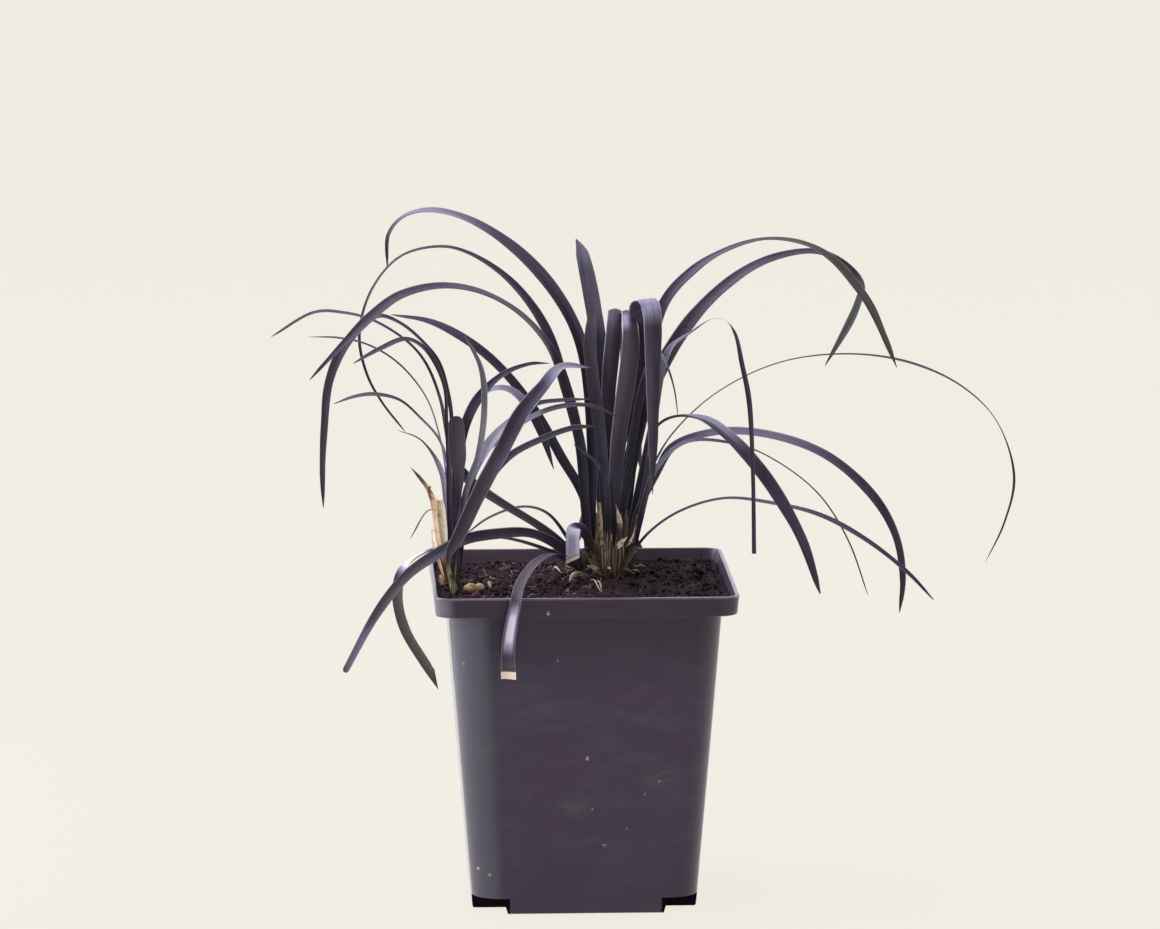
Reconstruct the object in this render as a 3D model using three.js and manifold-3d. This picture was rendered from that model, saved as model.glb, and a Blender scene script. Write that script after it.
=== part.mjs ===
/**
 * Black mondo grass (Ophiopogon planiscapus 'Nigrescens') in a square 9 cm nursery pot.
 *
 * Units are millimetres, +Z is up. The origin is the middle of the pot's underside, and the
 * pot's walls stand square to X and Y. Each leafy shoot is one solid: its strap leaves are
 * swept along hand-placed points and fused into the short stem they grow from. The stems
 * stand in plain holes in the potting soil.
 */
import * as THREE from 'three';
import { mergeVertices } from 'three/addons/utils/BufferGeometryUtils.js';
import Module from 'manifold-3d';

// ---- Driving dimensions ---------------------------------------------------------------
const RIM_HALF = 45;
const RIM_CORNER = 5.5;
const POT_HEIGHT = 97;
const BAND_HEIGHT = 5.8;
const BODY_HALF_TOP = 40.6;
const BODY_HALF_BASE = 33.3;
const BODY_CORNER_BASE = 9.2;
const BODY_CORNER_TOP = 12;
const WALL = 1.2;
const LEDGE_FALL = 2.2;
const RIM_DRAFT = 0.5;
const EDGE_SOFTENING = 0.6;
const CORNER_STEPS = 5;

const FOOT_HEIGHT = 4.7;
const NOTCH_WIDTH = 8.8;
const NOTCH_SLANT = 1.4;
const DRAIN_RADIUS = 3;
const DRAIN_OFFSET = 28.6;

const SOIL_LEVEL = 93.3;
const SOIL_GAP = 0.35;
const SOIL_CELLS = 18;
const HOLE_GAP = 0.4;

const LEAF_THICKNESS = 0.7;
const RINGS_PER_SPAN = 2;
const CHANNEL = 0.13;
const SLENDER_WIDTH = 2.5;
const ROOT_Z = 80;
const NECK_Z = 96;
const COLLAR_Z = 98;
const STEM_TOP_Z = 103;

// ---- Colours --------------------------------------------------------------------------
const POT_COLOUR = 0x4b4857;
const SOIL_COLOUR = 0x2c2124;
const LEAF_COLOUR = 0x2a2630;
const SHEATH_COLOUR = 0xa98457;
const OLD_SHEATH_COLOUR = 0x6d6244;
const TUBER_COLOUR = 0xc9a24a;

// ---- Solids ---------------------------------------------------------------------------
const wasm = await Module();
wasm.setup();

/** Turns a closed BufferGeometry into a manifold solid. */
function solid(geometry) {
  const bare = geometry.clone();
  bare.deleteAttribute('normal');
  bare.deleteAttribute('uv');
  const merged = mergeVertices(bare, 1e-4);
  return new wasm.Manifold(new wasm.Mesh({
    numProp: 3,
    vertProperties: new Float32Array(merged.attributes.position.array),
    triVerts: new Uint32Array(merged.index.array),
  }));
}

/** Turns a manifold solid back into a BufferGeometry. */
function geometryOf(body) {
  const mesh = body.getMesh();
  const geometry = new THREE.BufferGeometry();
  geometry.setAttribute('position', new THREE.BufferAttribute(new Float32Array(mesh.vertProperties), 3));
  geometry.setIndex(new THREE.BufferAttribute(new Uint32Array(mesh.triVerts), 1));
  geometry.computeVertexNormals();
  return geometry;
}

/** Joins rings of equally many points, lowest or first ring first, into one closed skin. */
function skin(rings) {
  const count = rings[0].length;
  const positions = rings.flat().flatMap((point) => [point.x, point.y, point.z]);
  const index = [];
  for (let ring = 0; ring < rings.length - 1; ring += 1) {
    for (let side = 0; side < count; side += 1) {
      const a = ring * count + side;
      const b = ring * count + ((side + 1) % count);
      index.push(a, b, b + count, a, b + count, a + count);
    }
  }
  const last = (rings.length - 1) * count;
  for (let side = 1; side < count - 1; side += 1) {
    index.push(0, side + 1, side);
    index.push(last, last + side, last + side + 1);
  }
  const geometry = new THREE.BufferGeometry();
  geometry.setAttribute('position', new THREE.Float32BufferAttribute(positions, 3));
  geometry.setIndex(index);
  return geometry;
}

/** Makes a named mesh with its own material. */
function part(name, geometry, colour, roughness) {
  const material = new THREE.MeshStandardMaterial({ color: colour, roughness, metalness: 0 });
  const mesh = new THREE.Mesh(geometry, material);
  mesh.name = name;
  return mesh;
}

// ---- Pot ------------------------------------------------------------------------------
/** A square outline with round corners at height z, counter-clockwise. */
function squareRing(z, half, radius) {
  const centre = half - radius;
  const ring = [];
  for (let corner = 0; corner < 4; corner += 1) {
    const start = corner * Math.PI / 2;
    const cx = centre * Math.sign(Math.cos(start + Math.PI / 4));
    const cy = centre * Math.sign(Math.sin(start + Math.PI / 4));
    for (let step = 0; step <= CORNER_STEPS; step += 1) {
      const angle = start + (step / CORNER_STEPS) * Math.PI / 2;
      ring.push(new THREE.Vector3(cx + radius * Math.cos(angle), cy + radius * Math.sin(angle), z));
    }
  }
  return ring;
}

/** The inside of the pot, drawn in by a clearance: floor, sloping wall, ledge and rim. */
function cavity(clearance, topZ) {
  const ledgeZ = POT_HEIGHT - BAND_HEIGHT + WALL;
  const inset = WALL + clearance;
  return solid(skin([
    squareRing(WALL + clearance, BODY_HALF_BASE - inset, BODY_CORNER_BASE - inset),
    squareRing(ledgeZ - LEDGE_FALL + clearance, BODY_HALF_TOP - inset, BODY_CORNER_TOP - inset),
    squareRing(ledgeZ + clearance, RIM_HALF - inset - RIM_DRAFT, RIM_CORNER - WALL),
    squareRing(topZ, RIM_HALF - inset, RIM_CORNER - WALL),
  ]));
}

/** The four square blocks that raise the pot's corners between its feet. */
function cornerBlocks(grow, height) {
  const inner = BODY_HALF_BASE - NOTCH_WIDTH - grow;
  const outer = RIM_HALF;
  const half = (outer - inner) / 2;
  const centre = (outer + inner) / 2;
  let blocks = null;
  for (const sx of [-1, 1]) {
    for (const sy of [-1, 1]) {
      const block = new THREE.CylinderGeometry(half, half + NOTCH_SLANT, height, 4, 1);
      block.rotateX(Math.PI / 2);
      block.rotateZ(Math.PI / 4);
      block.scale(Math.SQRT2, Math.SQRT2, 1);
      block.translate(sx * centre, sy * centre, height / 2 - 0.01);
      const body = solid(block);
      blocks = blocks ? blocks.add(body) : body;
    }
  }
  return blocks;
}

function makePot() {
  const bandZ = POT_HEIGHT - BAND_HEIGHT;
  const outside = solid(skin([
    squareRing(0, BODY_HALF_BASE, BODY_CORNER_BASE),
    squareRing(bandZ - EDGE_SOFTENING, BODY_HALF_TOP, BODY_CORNER_TOP),
    squareRing(bandZ, RIM_HALF - RIM_DRAFT - EDGE_SOFTENING, RIM_CORNER),
    squareRing(bandZ + EDGE_SOFTENING, RIM_HALF - RIM_DRAFT, RIM_CORNER),
    squareRing(POT_HEIGHT - EDGE_SOFTENING, RIM_HALF, RIM_CORNER),
    squareRing(POT_HEIGHT, RIM_HALF - EDGE_SOFTENING, RIM_CORNER),
  ]));
  const inside = cavity(0, POT_HEIGHT + 1).subtract(cornerBlocks(WALL, FOOT_HEIGHT + WALL));
  let pot = outside.subtract(cornerBlocks(0, FOOT_HEIGHT)).subtract(inside);
  for (const sx of [-1, 1]) {
    for (const sy of [-1, 1]) {
      const drain = new THREE.CylinderGeometry(DRAIN_RADIUS, DRAIN_RADIUS, 4, 12);
      drain.rotateX(Math.PI / 2);
      drain.translate(sx * DRAIN_OFFSET, sy * DRAIN_OFFSET, FOOT_HEIGHT + WALL / 2);
      pot = pot.subtract(solid(drain));
    }
  }
  return part('pot_square_nursery', geometryOf(pot), POT_COLOUR, 0.55);
}

// ---- Leaves ---------------------------------------------------------------------------
/** Reads a short list of values at fraction t, easing between its entries. */
function along(values, t) {
  const place = t * (values.length - 1);
  const lower = Math.min(Math.floor(place), values.length - 2);
  const blend = THREE.MathUtils.smoothstep(place - lower, 0, 1);
  return THREE.MathUtils.lerp(values[lower], values[lower + 1], blend);
}

/**
 * One strap leaf. `widths` and `leans` run from root to tip; a lean of 0 degrees turns the
 * upper face to the front, 90 turns it to the sky, and `turn` swings it round the vertical.
 */
function strap(points, widths, leans, turn) {
  const path = points.map(([x, y, z]) => new THREE.Vector3(x, y, z));
  const curve = new THREE.CatmullRomCurve3(path, false, 'centripetal');
  const steps = RINGS_PER_SPAN * (points.length - 1);
  const slender = Math.max(...widths) < SLENDER_WIDTH;
  const rings = [];
  for (let step = 0; step <= steps; step += 1) {
    const t = step / steps;
    const centre = curve.getPoint(t);
    const tangent = curve.getTangent(t);
    const lean = THREE.MathUtils.degToRad(along(leans, t));
    const swing = THREE.MathUtils.degToRad(turn);
    const face = new THREE.Vector3(
      Math.sin(swing) * Math.cos(lean),
      -Math.cos(swing) * Math.cos(lean),
      Math.sin(lean),
    );
    const across = new THREE.Vector3().crossVectors(tangent, face).normalize();
    const up = new THREE.Vector3().crossVectors(across, tangent);
    const half = along(widths, t) / 2;
    const dip = 2 * half * CHANNEL / LEAF_THICKNESS;
    const flat = [[-half, -0.5], [half, -0.5], [half, 0.5], [-half, 0.5]];
    const section = slender ? flat : flat.toSpliced(3, 0, [0, 0.5 - dip]).toSpliced(1, 0, [0, -0.5 - dip]);
    rings.push(section.map(([side, rise]) => centre.clone()
      .addScaledVector(across, side)
      .addScaledVector(up, rise * LEAF_THICKNESS)));
  }
  const body = solid(skin(rings));
  return body.volume() > 0 ? body : solid(skin(rings.map((ring) => ring.slice().reverse())));
}

/** A round stem through the given points, with a radius for each point. */
function tube(points, radii) {
  const sides = 8;
  const rings = points.map(([x, y, z], place) => Array.from({ length: sides }, (_, side) => {
    const angle = (side / sides) * 2 * Math.PI;
    return new THREE.Vector3(x + radii[place] * Math.cos(angle), y + radii[place] * Math.sin(angle), z);
  }));
  return solid(skin(rings));
}

const shoots = [];

/**
 * Declares a shoot: a stem rooted at [x, y] that comes out of the soil at `collar`, and its
 * leaves. Each leaf is [points, widths, leans, turn], its points starting past the collar.
 */
function shoot(name, colour, stem, leaves) {
  shoots.push({ name, colour, ...stem, leaves });
}

/** The stem's centre line from its buried end to its tip among the leaf bases. */
function stemLine({ root, collar }) {
  const [x, y] = collar;
  return [[...root, ROOT_Z], [(root[0] + x) / 2, (root[1] + y) / 2, COLLAR_Z - 6], [x, y, COLLAR_Z],
    [x, y, STEM_TOP_Z]];
}

function makeShoot({ name, colour, root, collar, radius, leaves }) {
  let body = tube(stemLine({ root, collar }), [radius, radius, radius * 0.85, radius * 0.4]);
  for (const [points, widths, leans, turn] of leaves) {
    const [x, y] = points[0];
    const heading = new THREE.Vector2(x - collar[0], y - collar[1]).clampLength(0, radius * 0.2);
    const neck = [collar[0] + heading.x, collar[1] + heading.y, NECK_Z];
    body = body.add(strap([neck, ...points], widths, leans, turn));
  }
  return part(name, geometryOf(body), colour, 0.4);
}

shoot('shoot_crown_left', LEAF_COLOUR, { root: [4, 17], collar: [4, 17], radius: 2.3 }, [
  [[[4, 18, 115], [4.5, 20, 131], [1.7, 23, 161], [-5, 25, 176], [-17, 27, 190], [-32, 29, 200],
    [-44, 30, 203], [-52, 31, 201], [-56.5, 31, 195.5], [-57, 31, 185]],
  [2.4, 3.4, 3.8, 4.8, 3.4, 1.6, 0.9], [10, 30, 50, 70, 75, 60], 0],
  [[[2, 17, 115], [1, 17, 131], [-4, 16, 151], [-10, 16, 169], [-20.5, 18, 183], [-32.5, 20, 191],
    [-41, 21, 193], [-53, 22, 190], [-61.7, 22, 180], [-65.6, 22, 166], [-63.5, 21, 154.5],
    [-59, 20, 146], [-52, 19, 137]],
  [2.4, 3.2, 3.2, 1.3, 0.9, 0.9, 0.8], [10, 40, 60, 70, 60, 60], 0],
  [[[2, 16, 116], [0, 15, 136], [-4, 13, 152], [-9, 10, 164], [-18, 4, 175], [-30, -4, 182.6],
    [-42, -9, 185], [-54, -13, 182.7], [-63, -18, 176.8], [-70, -22, 170.6], [-81, -27, 159.5]],
  [2.4, 3, 3.6, 3.8, 3.6, 1], [10, 40, 60, 70, 55, 40], 0],
  [[[2, 19, 116], [-5, 20, 129], [-12.6, 20, 142.5], [-22, 20, 154.8], [-31.5, 21, 163.2],
    [-44, 22, 170], [-56, 24, 172]],
  [2.4, 3, 3, 3.4, 1], [10, 30, 50, 60], 0],
]);

shoot('shoot_crown_front', LEAF_COLOUR, { root: [2, 9], collar: [2, 9], radius: 2.2 }, [
  [[[-6, 5, 104], [-15, 0, 109], [-24, -6, 110], [-35, -10.6, 109], [-43, -11.4, 105], [-52, -13, 99],
    [-61, -14, 88], [-71, -15, 70]],
  [2.2, 3.4, 4, 4, 3.2, 2], [10, 40, 45, 40, 30], 0],
  [[[-10, 6, 103], [-24, 5, 107], [-35, 5, 106], [-47, 3, 103], [-53, 0, 99], [-55, -5, 91],
    [-53, -9, 82], [-47, -12, 72], [-42, -14, 65]],
  [2, 1.4, 1, 1, 2.8, 3.2, 3.1, 3, 2.6], [10, 60, 85, 95, 60, 35, 20], 0],
  [[[-3, 9, 105], [-10, 8, 114], [-17, 7, 116], [-27, 6, 113], [-34, 6, 108]],
  [1.6, 1.2, 1, 0.8], [20, 70, 60], 0],
  [[[-5, 8, 104], [-12, 6, 110], [-24, 3, 118], [-32, 3, 123.6], [-36.3, 3, 127.9]],
  [2, 2.8, 3.2, 3.4, 3.8, 4], [20, 50, 50], 0],
  [[[4.2, 6.6, 100.9], [2.9, 5.6, 105.1], [1.3, 4.5, 108.3], [-0.2, 3, 110.4], [-1.7, 1.5, 110.5],
    [-2.4, 0, 108.5], [-2.5, -1, 104.4], [-2.6, -2, 99.8]],
  [2.2, 2.4, 2.6, 3, 3.4, 4, 4.2, 4.2, 4.2], [0, 0, 0, 15, 50, 70, 35, 10, 0], 10],
  [[[-2, 4, 100], [-8, -8, 104], [-14.2, -22, 104], [-20.2, -44, 100], [-21.4, -49, 96],
    [-23.5, -51, 84], [-23.5, -51, 74]],
  [2, 1.6, 2.2, 3, 3.1, 3.3, 4, 4.4], [30, 80, 75, 20, 0], 0],
]);

shoot('shoot_crown_centre', LEAF_COLOUR, { root: [9, 12], collar: [9, 12], radius: 2.4 }, [
  [[[8, 13, 126], [6.7, 14, 147], [6, 15, 163.7], [4.5, 16, 174.7], [2.8, 17, 184], [1, 17, 191.5],
    [-0.7, 17, 195.5]],
  [2.6, 4, 4.8, 5, 5, 4.8, 4.1, 2.8], [0, 0, 10, 20], 10],
  [[[6.5, 9, 136], [4, 8, 154], [3.1, 8, 164.3], [3.4, 8, 169.2], [3.9, 8, 175.4]],
    [2.6, 3.4, 3.9, 4, 3.4, 2.2], [0, 0, 0], -10],
  [[[8.7, 12, 147], [9.6, 12, 159.5], [10.6, 14, 168.3], [11.2, 20, 173], [11.2, 30, 169],
    [11, 42, 155], [11, 50, 138]],
  [2.6, 4.4, 4.8, 4.8, 4.2, 3, 2, 1], [0, 10, 50, 100, 130], 0],
  [[[11.9, 7, 138.6], [14, 6, 154], [15.2, 6.6, 164], [15.2, 8.6, 169.6], [14.7, 14, 173.2],
    [14.6, 24, 170.8], [14.6, 36, 158], [15, 43, 143]],
  [2.6, 4.8, 5.4, 5.5, 5, 3.6, 2.8, 2, 1], [0, 0, 30, 90, 130], 0],
  [[[10.1, 14, 125.7], [13.6, 14, 137.7], [16.4, 13, 148], [18.2, 12, 157], [18.4, 10.8, 166],
    [17.6, 10, 172], [17.6, 9.6, 175.4], [18.8, 8.8, 177.4], [20.6, 7.2, 177.4], [21.5, 5.8, 174.8],
    [21.8, 5, 169.4], [21.8, 4.6, 163.4], [21.8, 4, 151.5], [21.8, 4, 139.5], [21.7, 4, 119.8]],
  [2.6, 3.4, 3.6, 3.6, 3.8, 4.2, 4.8, 5.4, 6, 6, 5.7, 5.4, 5, 4.1, 3.2, 1],
  [180, 180, 180, 180, 180, 180, 175, 150, 105, 60, 25, 10, 5, 0, 0, 0], 0],
  [[[14, 13, 120], [18.3, 12, 147.4], [22, 11, 159.5], [24.4, 10, 161.4], [26.4, 9, 157.6],
    [28.4, 8, 151], [29.5, 8, 143]],
  [2.2, 2.4, 2.4, 2.4, 1.2, 0.8, 0.7, 0.7], [20, 20, 50, 40], 0],
  [[[8, 7, 122], [6, 7, 128], [-2, 5, 135]],
    [1.8, 1.6, 0.9], [20, 60, 60], 0],
]);

shoot('shoot_crown_back', LEAF_COLOUR, { root: [13, 20], collar: [13, 20], radius: 2.4 }, [
  [[[17, 23, 130], [20.4, 24, 152], [26.2, 24, 175], [34.6, 25, 184.5], [44.5, 25, 190.8],
    [56.5, 24, 194.4], [68.3, 21, 193.3], [76.2, 18, 189.1], [82.4, 15, 182.5], [87.3, 12, 175.6],
    [91.6, 9, 166.1], [95.1, 7, 157.3]],
  [2.4, 3, 3.2, 3.3, 3.2, 2.2, 1.3, 2.1, 2.7, 2.8, 2.6, 1.9, 0.9], [0, 20, 40, 60, 65, 45, 35, 30], 0],
  [[[12, 19, 106], [16, 19, 128], [20.4, 17, 146.5], [31.5, 17, 167.5], [43.6, 19, 180.4],
    [56.7, 22, 188.1], [70.9, 26, 190.3], [78.3, 28, 187.9], [84.2, 30, 183], [86.4, 30, 179.1],
    [85.1, 29, 174], [82.6, 28, 168.4], [75, 26, 155.3]],
  [2.6, 3.4, 4.4, 4.8, 4.4, 3.9, 3.3, 2.6, 2.4, 2.2, 2, 2.2, 2.4, 0.9],
  [0, 15, 30, 50, 60, 50, 30, 20, 10], 0],
  [[[16, 21, 109], [23, 22, 126], [29, 23, 135.6], [42, 24.4, 147.4], [61, 28, 156], [82, 32, 158.1],
    [101.5, 35, 155], [118, 37, 147], [128.6, 38, 136], [134, 38, 119], [131, 37, 105],
    [125, 35, 93]],
  [1.5, 1, 0.8, 0.9, 1.1, 1.2, 0.8], [20, 60, 70, 60, 40], 0],
  [[[22, 15, 138], [26.7, 12, 161.8], [33.5, 6, 168.9], [39.8, 1, 173.2], [43.2, -1, 172.8],
    [45.8, -3, 169.2], [47.6, -8, 160.6], [49.5, -11, 150.5], [50.5, -14, 130], [50.9, -15, 104.8]],
  [2.2, 2.4, 2.2, 1.4, 0.8, 0.7, 1.1, 1.5, 1.6, 1.2, 1.3], [0, 40, 80, 95, 60, 20, 10], 0],
]);

shoot('shoot_crown_right', LEAF_COLOUR, { root: [15, 12], collar: [15, 12], radius: 2.3 }, [
  [[[17, 13, 106], [20.4, 11, 125], [22.6, 8.6, 139], [28, 5.4, 143.4], [36.4, 1, 143.4],
    [44.6, -5, 138.2], [51.7, -10, 130.8], [57.6, -13.6, 122.8], [65, -19, 109.4], [70, -24, 94]],
  [2.2, 2, 1.6, 1.6, 2.4, 3.8, 4.2, 4.2, 4, 3, 1.6], [10, 50, 85, 95, 55, 35, 30, 30], 0],
  [[[17, 12, 111], [23, 12, 124], [28, 11, 133], [40, 8, 138], [55.5, 4, 138], [73, -2, 132.5],
    [87, -7, 120.6], [93.6, -10, 109], [95.6, -12, 96.5], [94.5, -14, 86.5]],
  [1.6, 2, 3.4, 4, 3.4, 2.2, 1.2], [10, 50, 65, 50, 30], 0],
  [[[18, 10, 110], [23, 8, 127], [32, 5, 135.6], [48, 1, 135], [60, -2, 129.6], [71.3, -4, 120.4],
    [79.5, -8, 107.5], [85.4, -11, 91]],
  [1.6, 1.9, 1.6, 1, 0.8, 0.8], [10, 50, 60, 40], 0],
  [[[16, 9, 101], [21, 7, 108], [30, 5, 114.6], [43, 2, 118.9], [57, -3, 118.2], [71, -9, 115.4],
    [84, -15, 109], [96.4, -20, 99.6], [104, -23, 91.6]],
  [1.2, 1, 0.9, 1, 1.4, 1.8, 1.4, 0.8], [10, 50, 60, 50, 40], 0],
]);

shoot('shoot_rear', LEAF_COLOUR, { root: [8, 27], collar: [8, 27], radius: 2.3 }, [
  [[[8, 34, 122], [9, 45, 129], [10, 57, 120], [11, 65, 100], [12, 67, 78]],
    [2.4, 3.6, 3.8, 1.2], [0, 90, 150], 0],
  [[[11, 33, 112], [14, 40, 110], [17, 48, 102], [23, 56, 89], [30, 61, 71], [34, 63, 57]],
    [2.4, 3.2, 3.4, 1.2], [0, 90, 150], -30],
  [[[5, 33, 110], [4, 40, 109], [2, 48, 101], [-5, 56, 87], [-13, 61, 69], [-18, 63, 54]],
    [2.4, 3.2, 3, 1.2], [0, 90, 150], 30],
  [[[7, 31, 132], [6, 38, 154], [5, 48, 159], [5, 58, 149], [5, 64, 132]],
    [2.4, 4, 4, 1.2], [0, 90, 140], 0],
  [[[10, 31, 118], [15, 38, 132], [19, 48, 132], [21, 58, 119]],
    [2.2, 3.4, 3.2, 1.2], [0, 90, 130], 0],
]);

shoot('shoot_left_front', LEAF_COLOUR, { root: [-36.6, -15], collar: [-39, -15], radius: 1.2 }, [
  [[[-40, -16, 105], [-37, -16, 111], [-30, -13, 125], [-24, -12, 136], [-18, -10, 147],
    [-12, -8, 154], [-6, -5, 160], [3, -1, 159]],
  [1.5, 1.3, 3.2, 4.2, 4.6, 4.7, 4.8, 4.6, 3.8, 2.4, 1], [0, 10, 30, 50, 50], 0],
  [[[-37, -14, 110], [-31, -10, 122], [-22, -7, 133], [-12, -4, 138], [-2, -1, 141], [5, 1, 141]],
    [1.3, 1.8, 2.5, 2.6, 2.2, 0.9], [10, 40, 55, 50], 0],
]);

shoot('shoot_left_inner', LEAF_COLOUR, { root: [-35.4, -6.5], collar: [-37.8, -6.5], radius: 1.5 }, [
  [[[-35, -7, 121], [-31, -7, 133], [-29, -7, 148], [-30, -7, 160], [-35, -7, 170]],
    [1.8, 1.9, 1.9, 0.9], [10, 20, 40], 0],
  [[[-37.6, -4, 128.6], [-34, -1.4, 144.5], [-29, -0.4, 151.7], [-23, 0, 153], [-18, 1, 150],
    [-12, 2, 140], [-8, 2, 128]],
  [1.8, 2, 1.9, 2.2, 2.8, 2.8, 1], [0, 20, 60, 40, 20], 0],
  [[[-36.6, -7.4, 134.4], [-32, -5, 148.7], [-24, -1, 156.7], [-15, 4, 159.6], [-9, 6, 159.4]],
    [2, 2.8, 3.1, 2, 1.3, 0.8], [0, 20, 50, 50], 0],
  [[[-34, -6, 123], [-30, -5, 133], [-24, -4, 141], [-14, -1, 148], [-6, 1, 149], [3, 3, 149]],
    [1.8, 2.4, 3.2, 1.8, 1.6, 0.9], [10, 40, 60], 0],
  [[[-32, -4, 128], [-27, -3, 136], [-15, 0, 144], [-6, 2, 147], [3, 3, 147], [12, 4, 143]],
    [1.8, 2, 1.8, 0.9], [10, 40, 60], 0],
  [[[-36.9, -7, 113.8], [-36.6, -8, 121.5], [-36.6, -8.5, 127.3], [-37.1, -9, 134.3], [-37.5, -9, 146]],
    [1.6, 1.4, 1.5, 2.6, 4.4, 4.6], [0, 0, 0], 0],
]);

shoot('shoot_left_outer', LEAF_COLOUR, { root: [-35.4, -0.5], collar: [-38.5, -0.5], radius: 1.6 }, [
  [[[-40, -1, 125], [-42, -1, 138], [-46, 0, 150], [-54, 2, 160], [-63, 4, 165.5],
    [-72, 6, 167.5], [-81, 8, 167.5]],
  [1, 0.7, 0.7, 0.8, 0.8], [10, 50, 60], 0],
  [[[-39, 0, 125], [-42, 1, 137], [-48, 2, 144], [-54, 4, 149], [-61.5, 6, 150.5],
    [-67.5, 8, 149.5], [-73.5, 10, 147]],
  [1.2, 0.8, 0.8, 1.6, 0.9], [10, 50, 60], 0],
  [[[-40, -2, 141], [-41, -3, 155], [-46, -5, 165], [-52, -8, 169], [-60, -11, 166.5],
    [-68, -14, 162.5]],
    [1.4, 1, 1.6, 2, 1], [10, 30, 60, 50], 0],
  [[[-37.6, -0.5, 118.8], [-39, 0, 131], [-40.2, 0.5, 141], [-42, 1, 150], [-46, 2, 160],
    [-51, 4, 166], [-61.5, 7, 172.5], [-70, 10, 174.5], [-79, 12, 174.5], [-92, 13, 167]],
  [1.4, 1.4, 1.3, 0.9, 0.9, 1, 1.2, 0.9], [0, 10, 30, 60, 60, 50], 0],
  [[[-39.6, -2, 130], [-38.6, -2, 144], [-40, -2.4, 153], [-42.6, -3, 161.4], [-47, -4, 167.4],
    [-53.8, -4, 173.2], [-60, -4, 175.4], [-65.6, -5, 172], [-71.6, -8, 165], [-75.2, -9.4, 156],
    [-76.6, -11, 143], [-77.2, -12, 131], [-77, -12, 119]],
  [1.6, 1.2, 1.2, 1.4, 1.4, 1.2, 1.2, 1.8, 2.8, 3, 2.6, 2.2, 1.7, 0.9], [10, 30, 60, 60, 30, 10], 0],
  [[[-40.3, -1, 119], [-42, -2, 129], [-48, -3, 138], [-55, -4, 141]],
    [1.4, 1.6, 1.7, 0.9, 0.7], [0, 20, 60, 60], 0],
  [[[-40, 1, 114], [-45, 2, 116], [-51, 3, 107]],
    [1, 0.7, 0.7, 0.8], [20, 60, 40], 0],
  [[[-39, 5, 119], [-39, 15, 125], [-38, 28, 119], [-38, 40, 108], [-38, 47, 101], [-39, 52, 84]],
    [2.2, 3, 3, 1], [0, 90, 140], 0],
]);

shoot('sheath_left_tan', SHEATH_COLOUR, { root: [-36, -10.3], collar: [-40.2, -9.7], radius: 1.1 }, [
  [[[-42, -8.5, 104], [-43, -7, 110], [-44, -6.5, 116], [-46, -6, 122], [-49, -6, 127],
    [-51, -6, 131]],
  [1.4, 2.4, 3.6, 3.4, 1.2], [0, 10, 20], -20],
]);

shoot('old_sheaths_crown_left', OLD_SHEATH_COLOUR, { root: [7, 6], collar: [7, 6], radius: 1 }, [
  [[[6.6, 6, 106], [5.8, 6.4, 117]], [1.4, 2.2, 1], [0, 10], 0],
  [[[8, 5.6, 104], [9.2, 5.4, 109]], [1.2, 1.8, 0.8], [10, 20], 0],
  [[[8.4, 4, 98.5], [10.5, 1, 97.5]], [1.2, 1.6, 0.8], [40, 60], 0],
]);

shoot('old_sheaths_crown_right', OLD_SHEATH_COLOUR, { root: [13, 7], collar: [13, 7], radius: 1 }, [
  [[[12.6, 7, 106], [12.2, 7, 116]], [1.4, 2, 0.8], [0, 10], 0],
  [[[14, 6.4, 105], [15.4, 6.2, 112]], [1.4, 2.2, 0.9], [0, 10], 0],
  [[[14.6, 5.4, 99], [17, 4.4, 104]], [1.2, 1.8, 0.8], [10, 20], 0],
]);

// ---- Tuber and soil -------------------------------------------------------------------
const TUBER_LUMPS = [
  { centre: [-33.4, -10.5, 94.4], radii: [2, 1.7, 1.5] },
  { centre: [-30.6, -10, 94.6], radii: [1.4, 1.3, 1.2] },
];

/** The two joined lumps of the yellow tuber, swelled by a clearance. */
function tuberBody(grow) {
  return TUBER_LUMPS.map(({ centre, radii }) => {
    const lump = new THREE.IcosahedronGeometry(1, 2);
    lump.scale(radii[0] + grow, radii[1] + grow, radii[2] + grow);
    lump.translate(...centre);
    return solid(lump);
  }).reduce((body, lump) => body.add(lump));
}

/** Height of the potting soil: a mound round the crown, a dip at the back left, and clods. */
function soilHeight(x, y) {
  const mound = 2.6 * Math.exp(-((x - 9) ** 2 + (y - 14) ** 2) / 260);
  const dip = 1.8 * Math.exp(-((x + 26) ** 2 + (y - 26) ** 2) / 180);
  const clods = 0.35 * Math.sin(x * 0.52 + 1.3) * Math.cos(y * 0.47) + 0.2 * Math.sin(x * 1.1 + y * 0.9);
  return SOIL_LEVEL + mound - dip + clods;
}

/** A block with the soil's uneven top, wider than the pot. */
function soilBlock() {
  const side = 2 * (RIM_HALF + 2);
  const block = new THREE.BoxGeometry(side, side, 1, SOIL_CELLS, SOIL_CELLS, 1);
  const place = block.attributes.position;
  for (let i = 0; i < place.count; i += 1) {
    const top = soilHeight(place.getX(i), place.getY(i));
    place.setZ(i, place.getZ(i) > 0 ? top : 0);
  }
  return solid(block);
}

/** A plain hole round a shoot's stem, open at the top. */
function stemHole({ root, collar, radius }) {
  const line = stemLine({ root, collar }).slice(0, 3);
  line[0][2] -= HOLE_GAP;
  const wide = radius + HOLE_GAP;
  const [x, y] = collar;
  return tube([...line, [x, y, STEM_TOP_Z + 4]], [wide, wide, wide, wide]);
}

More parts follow.
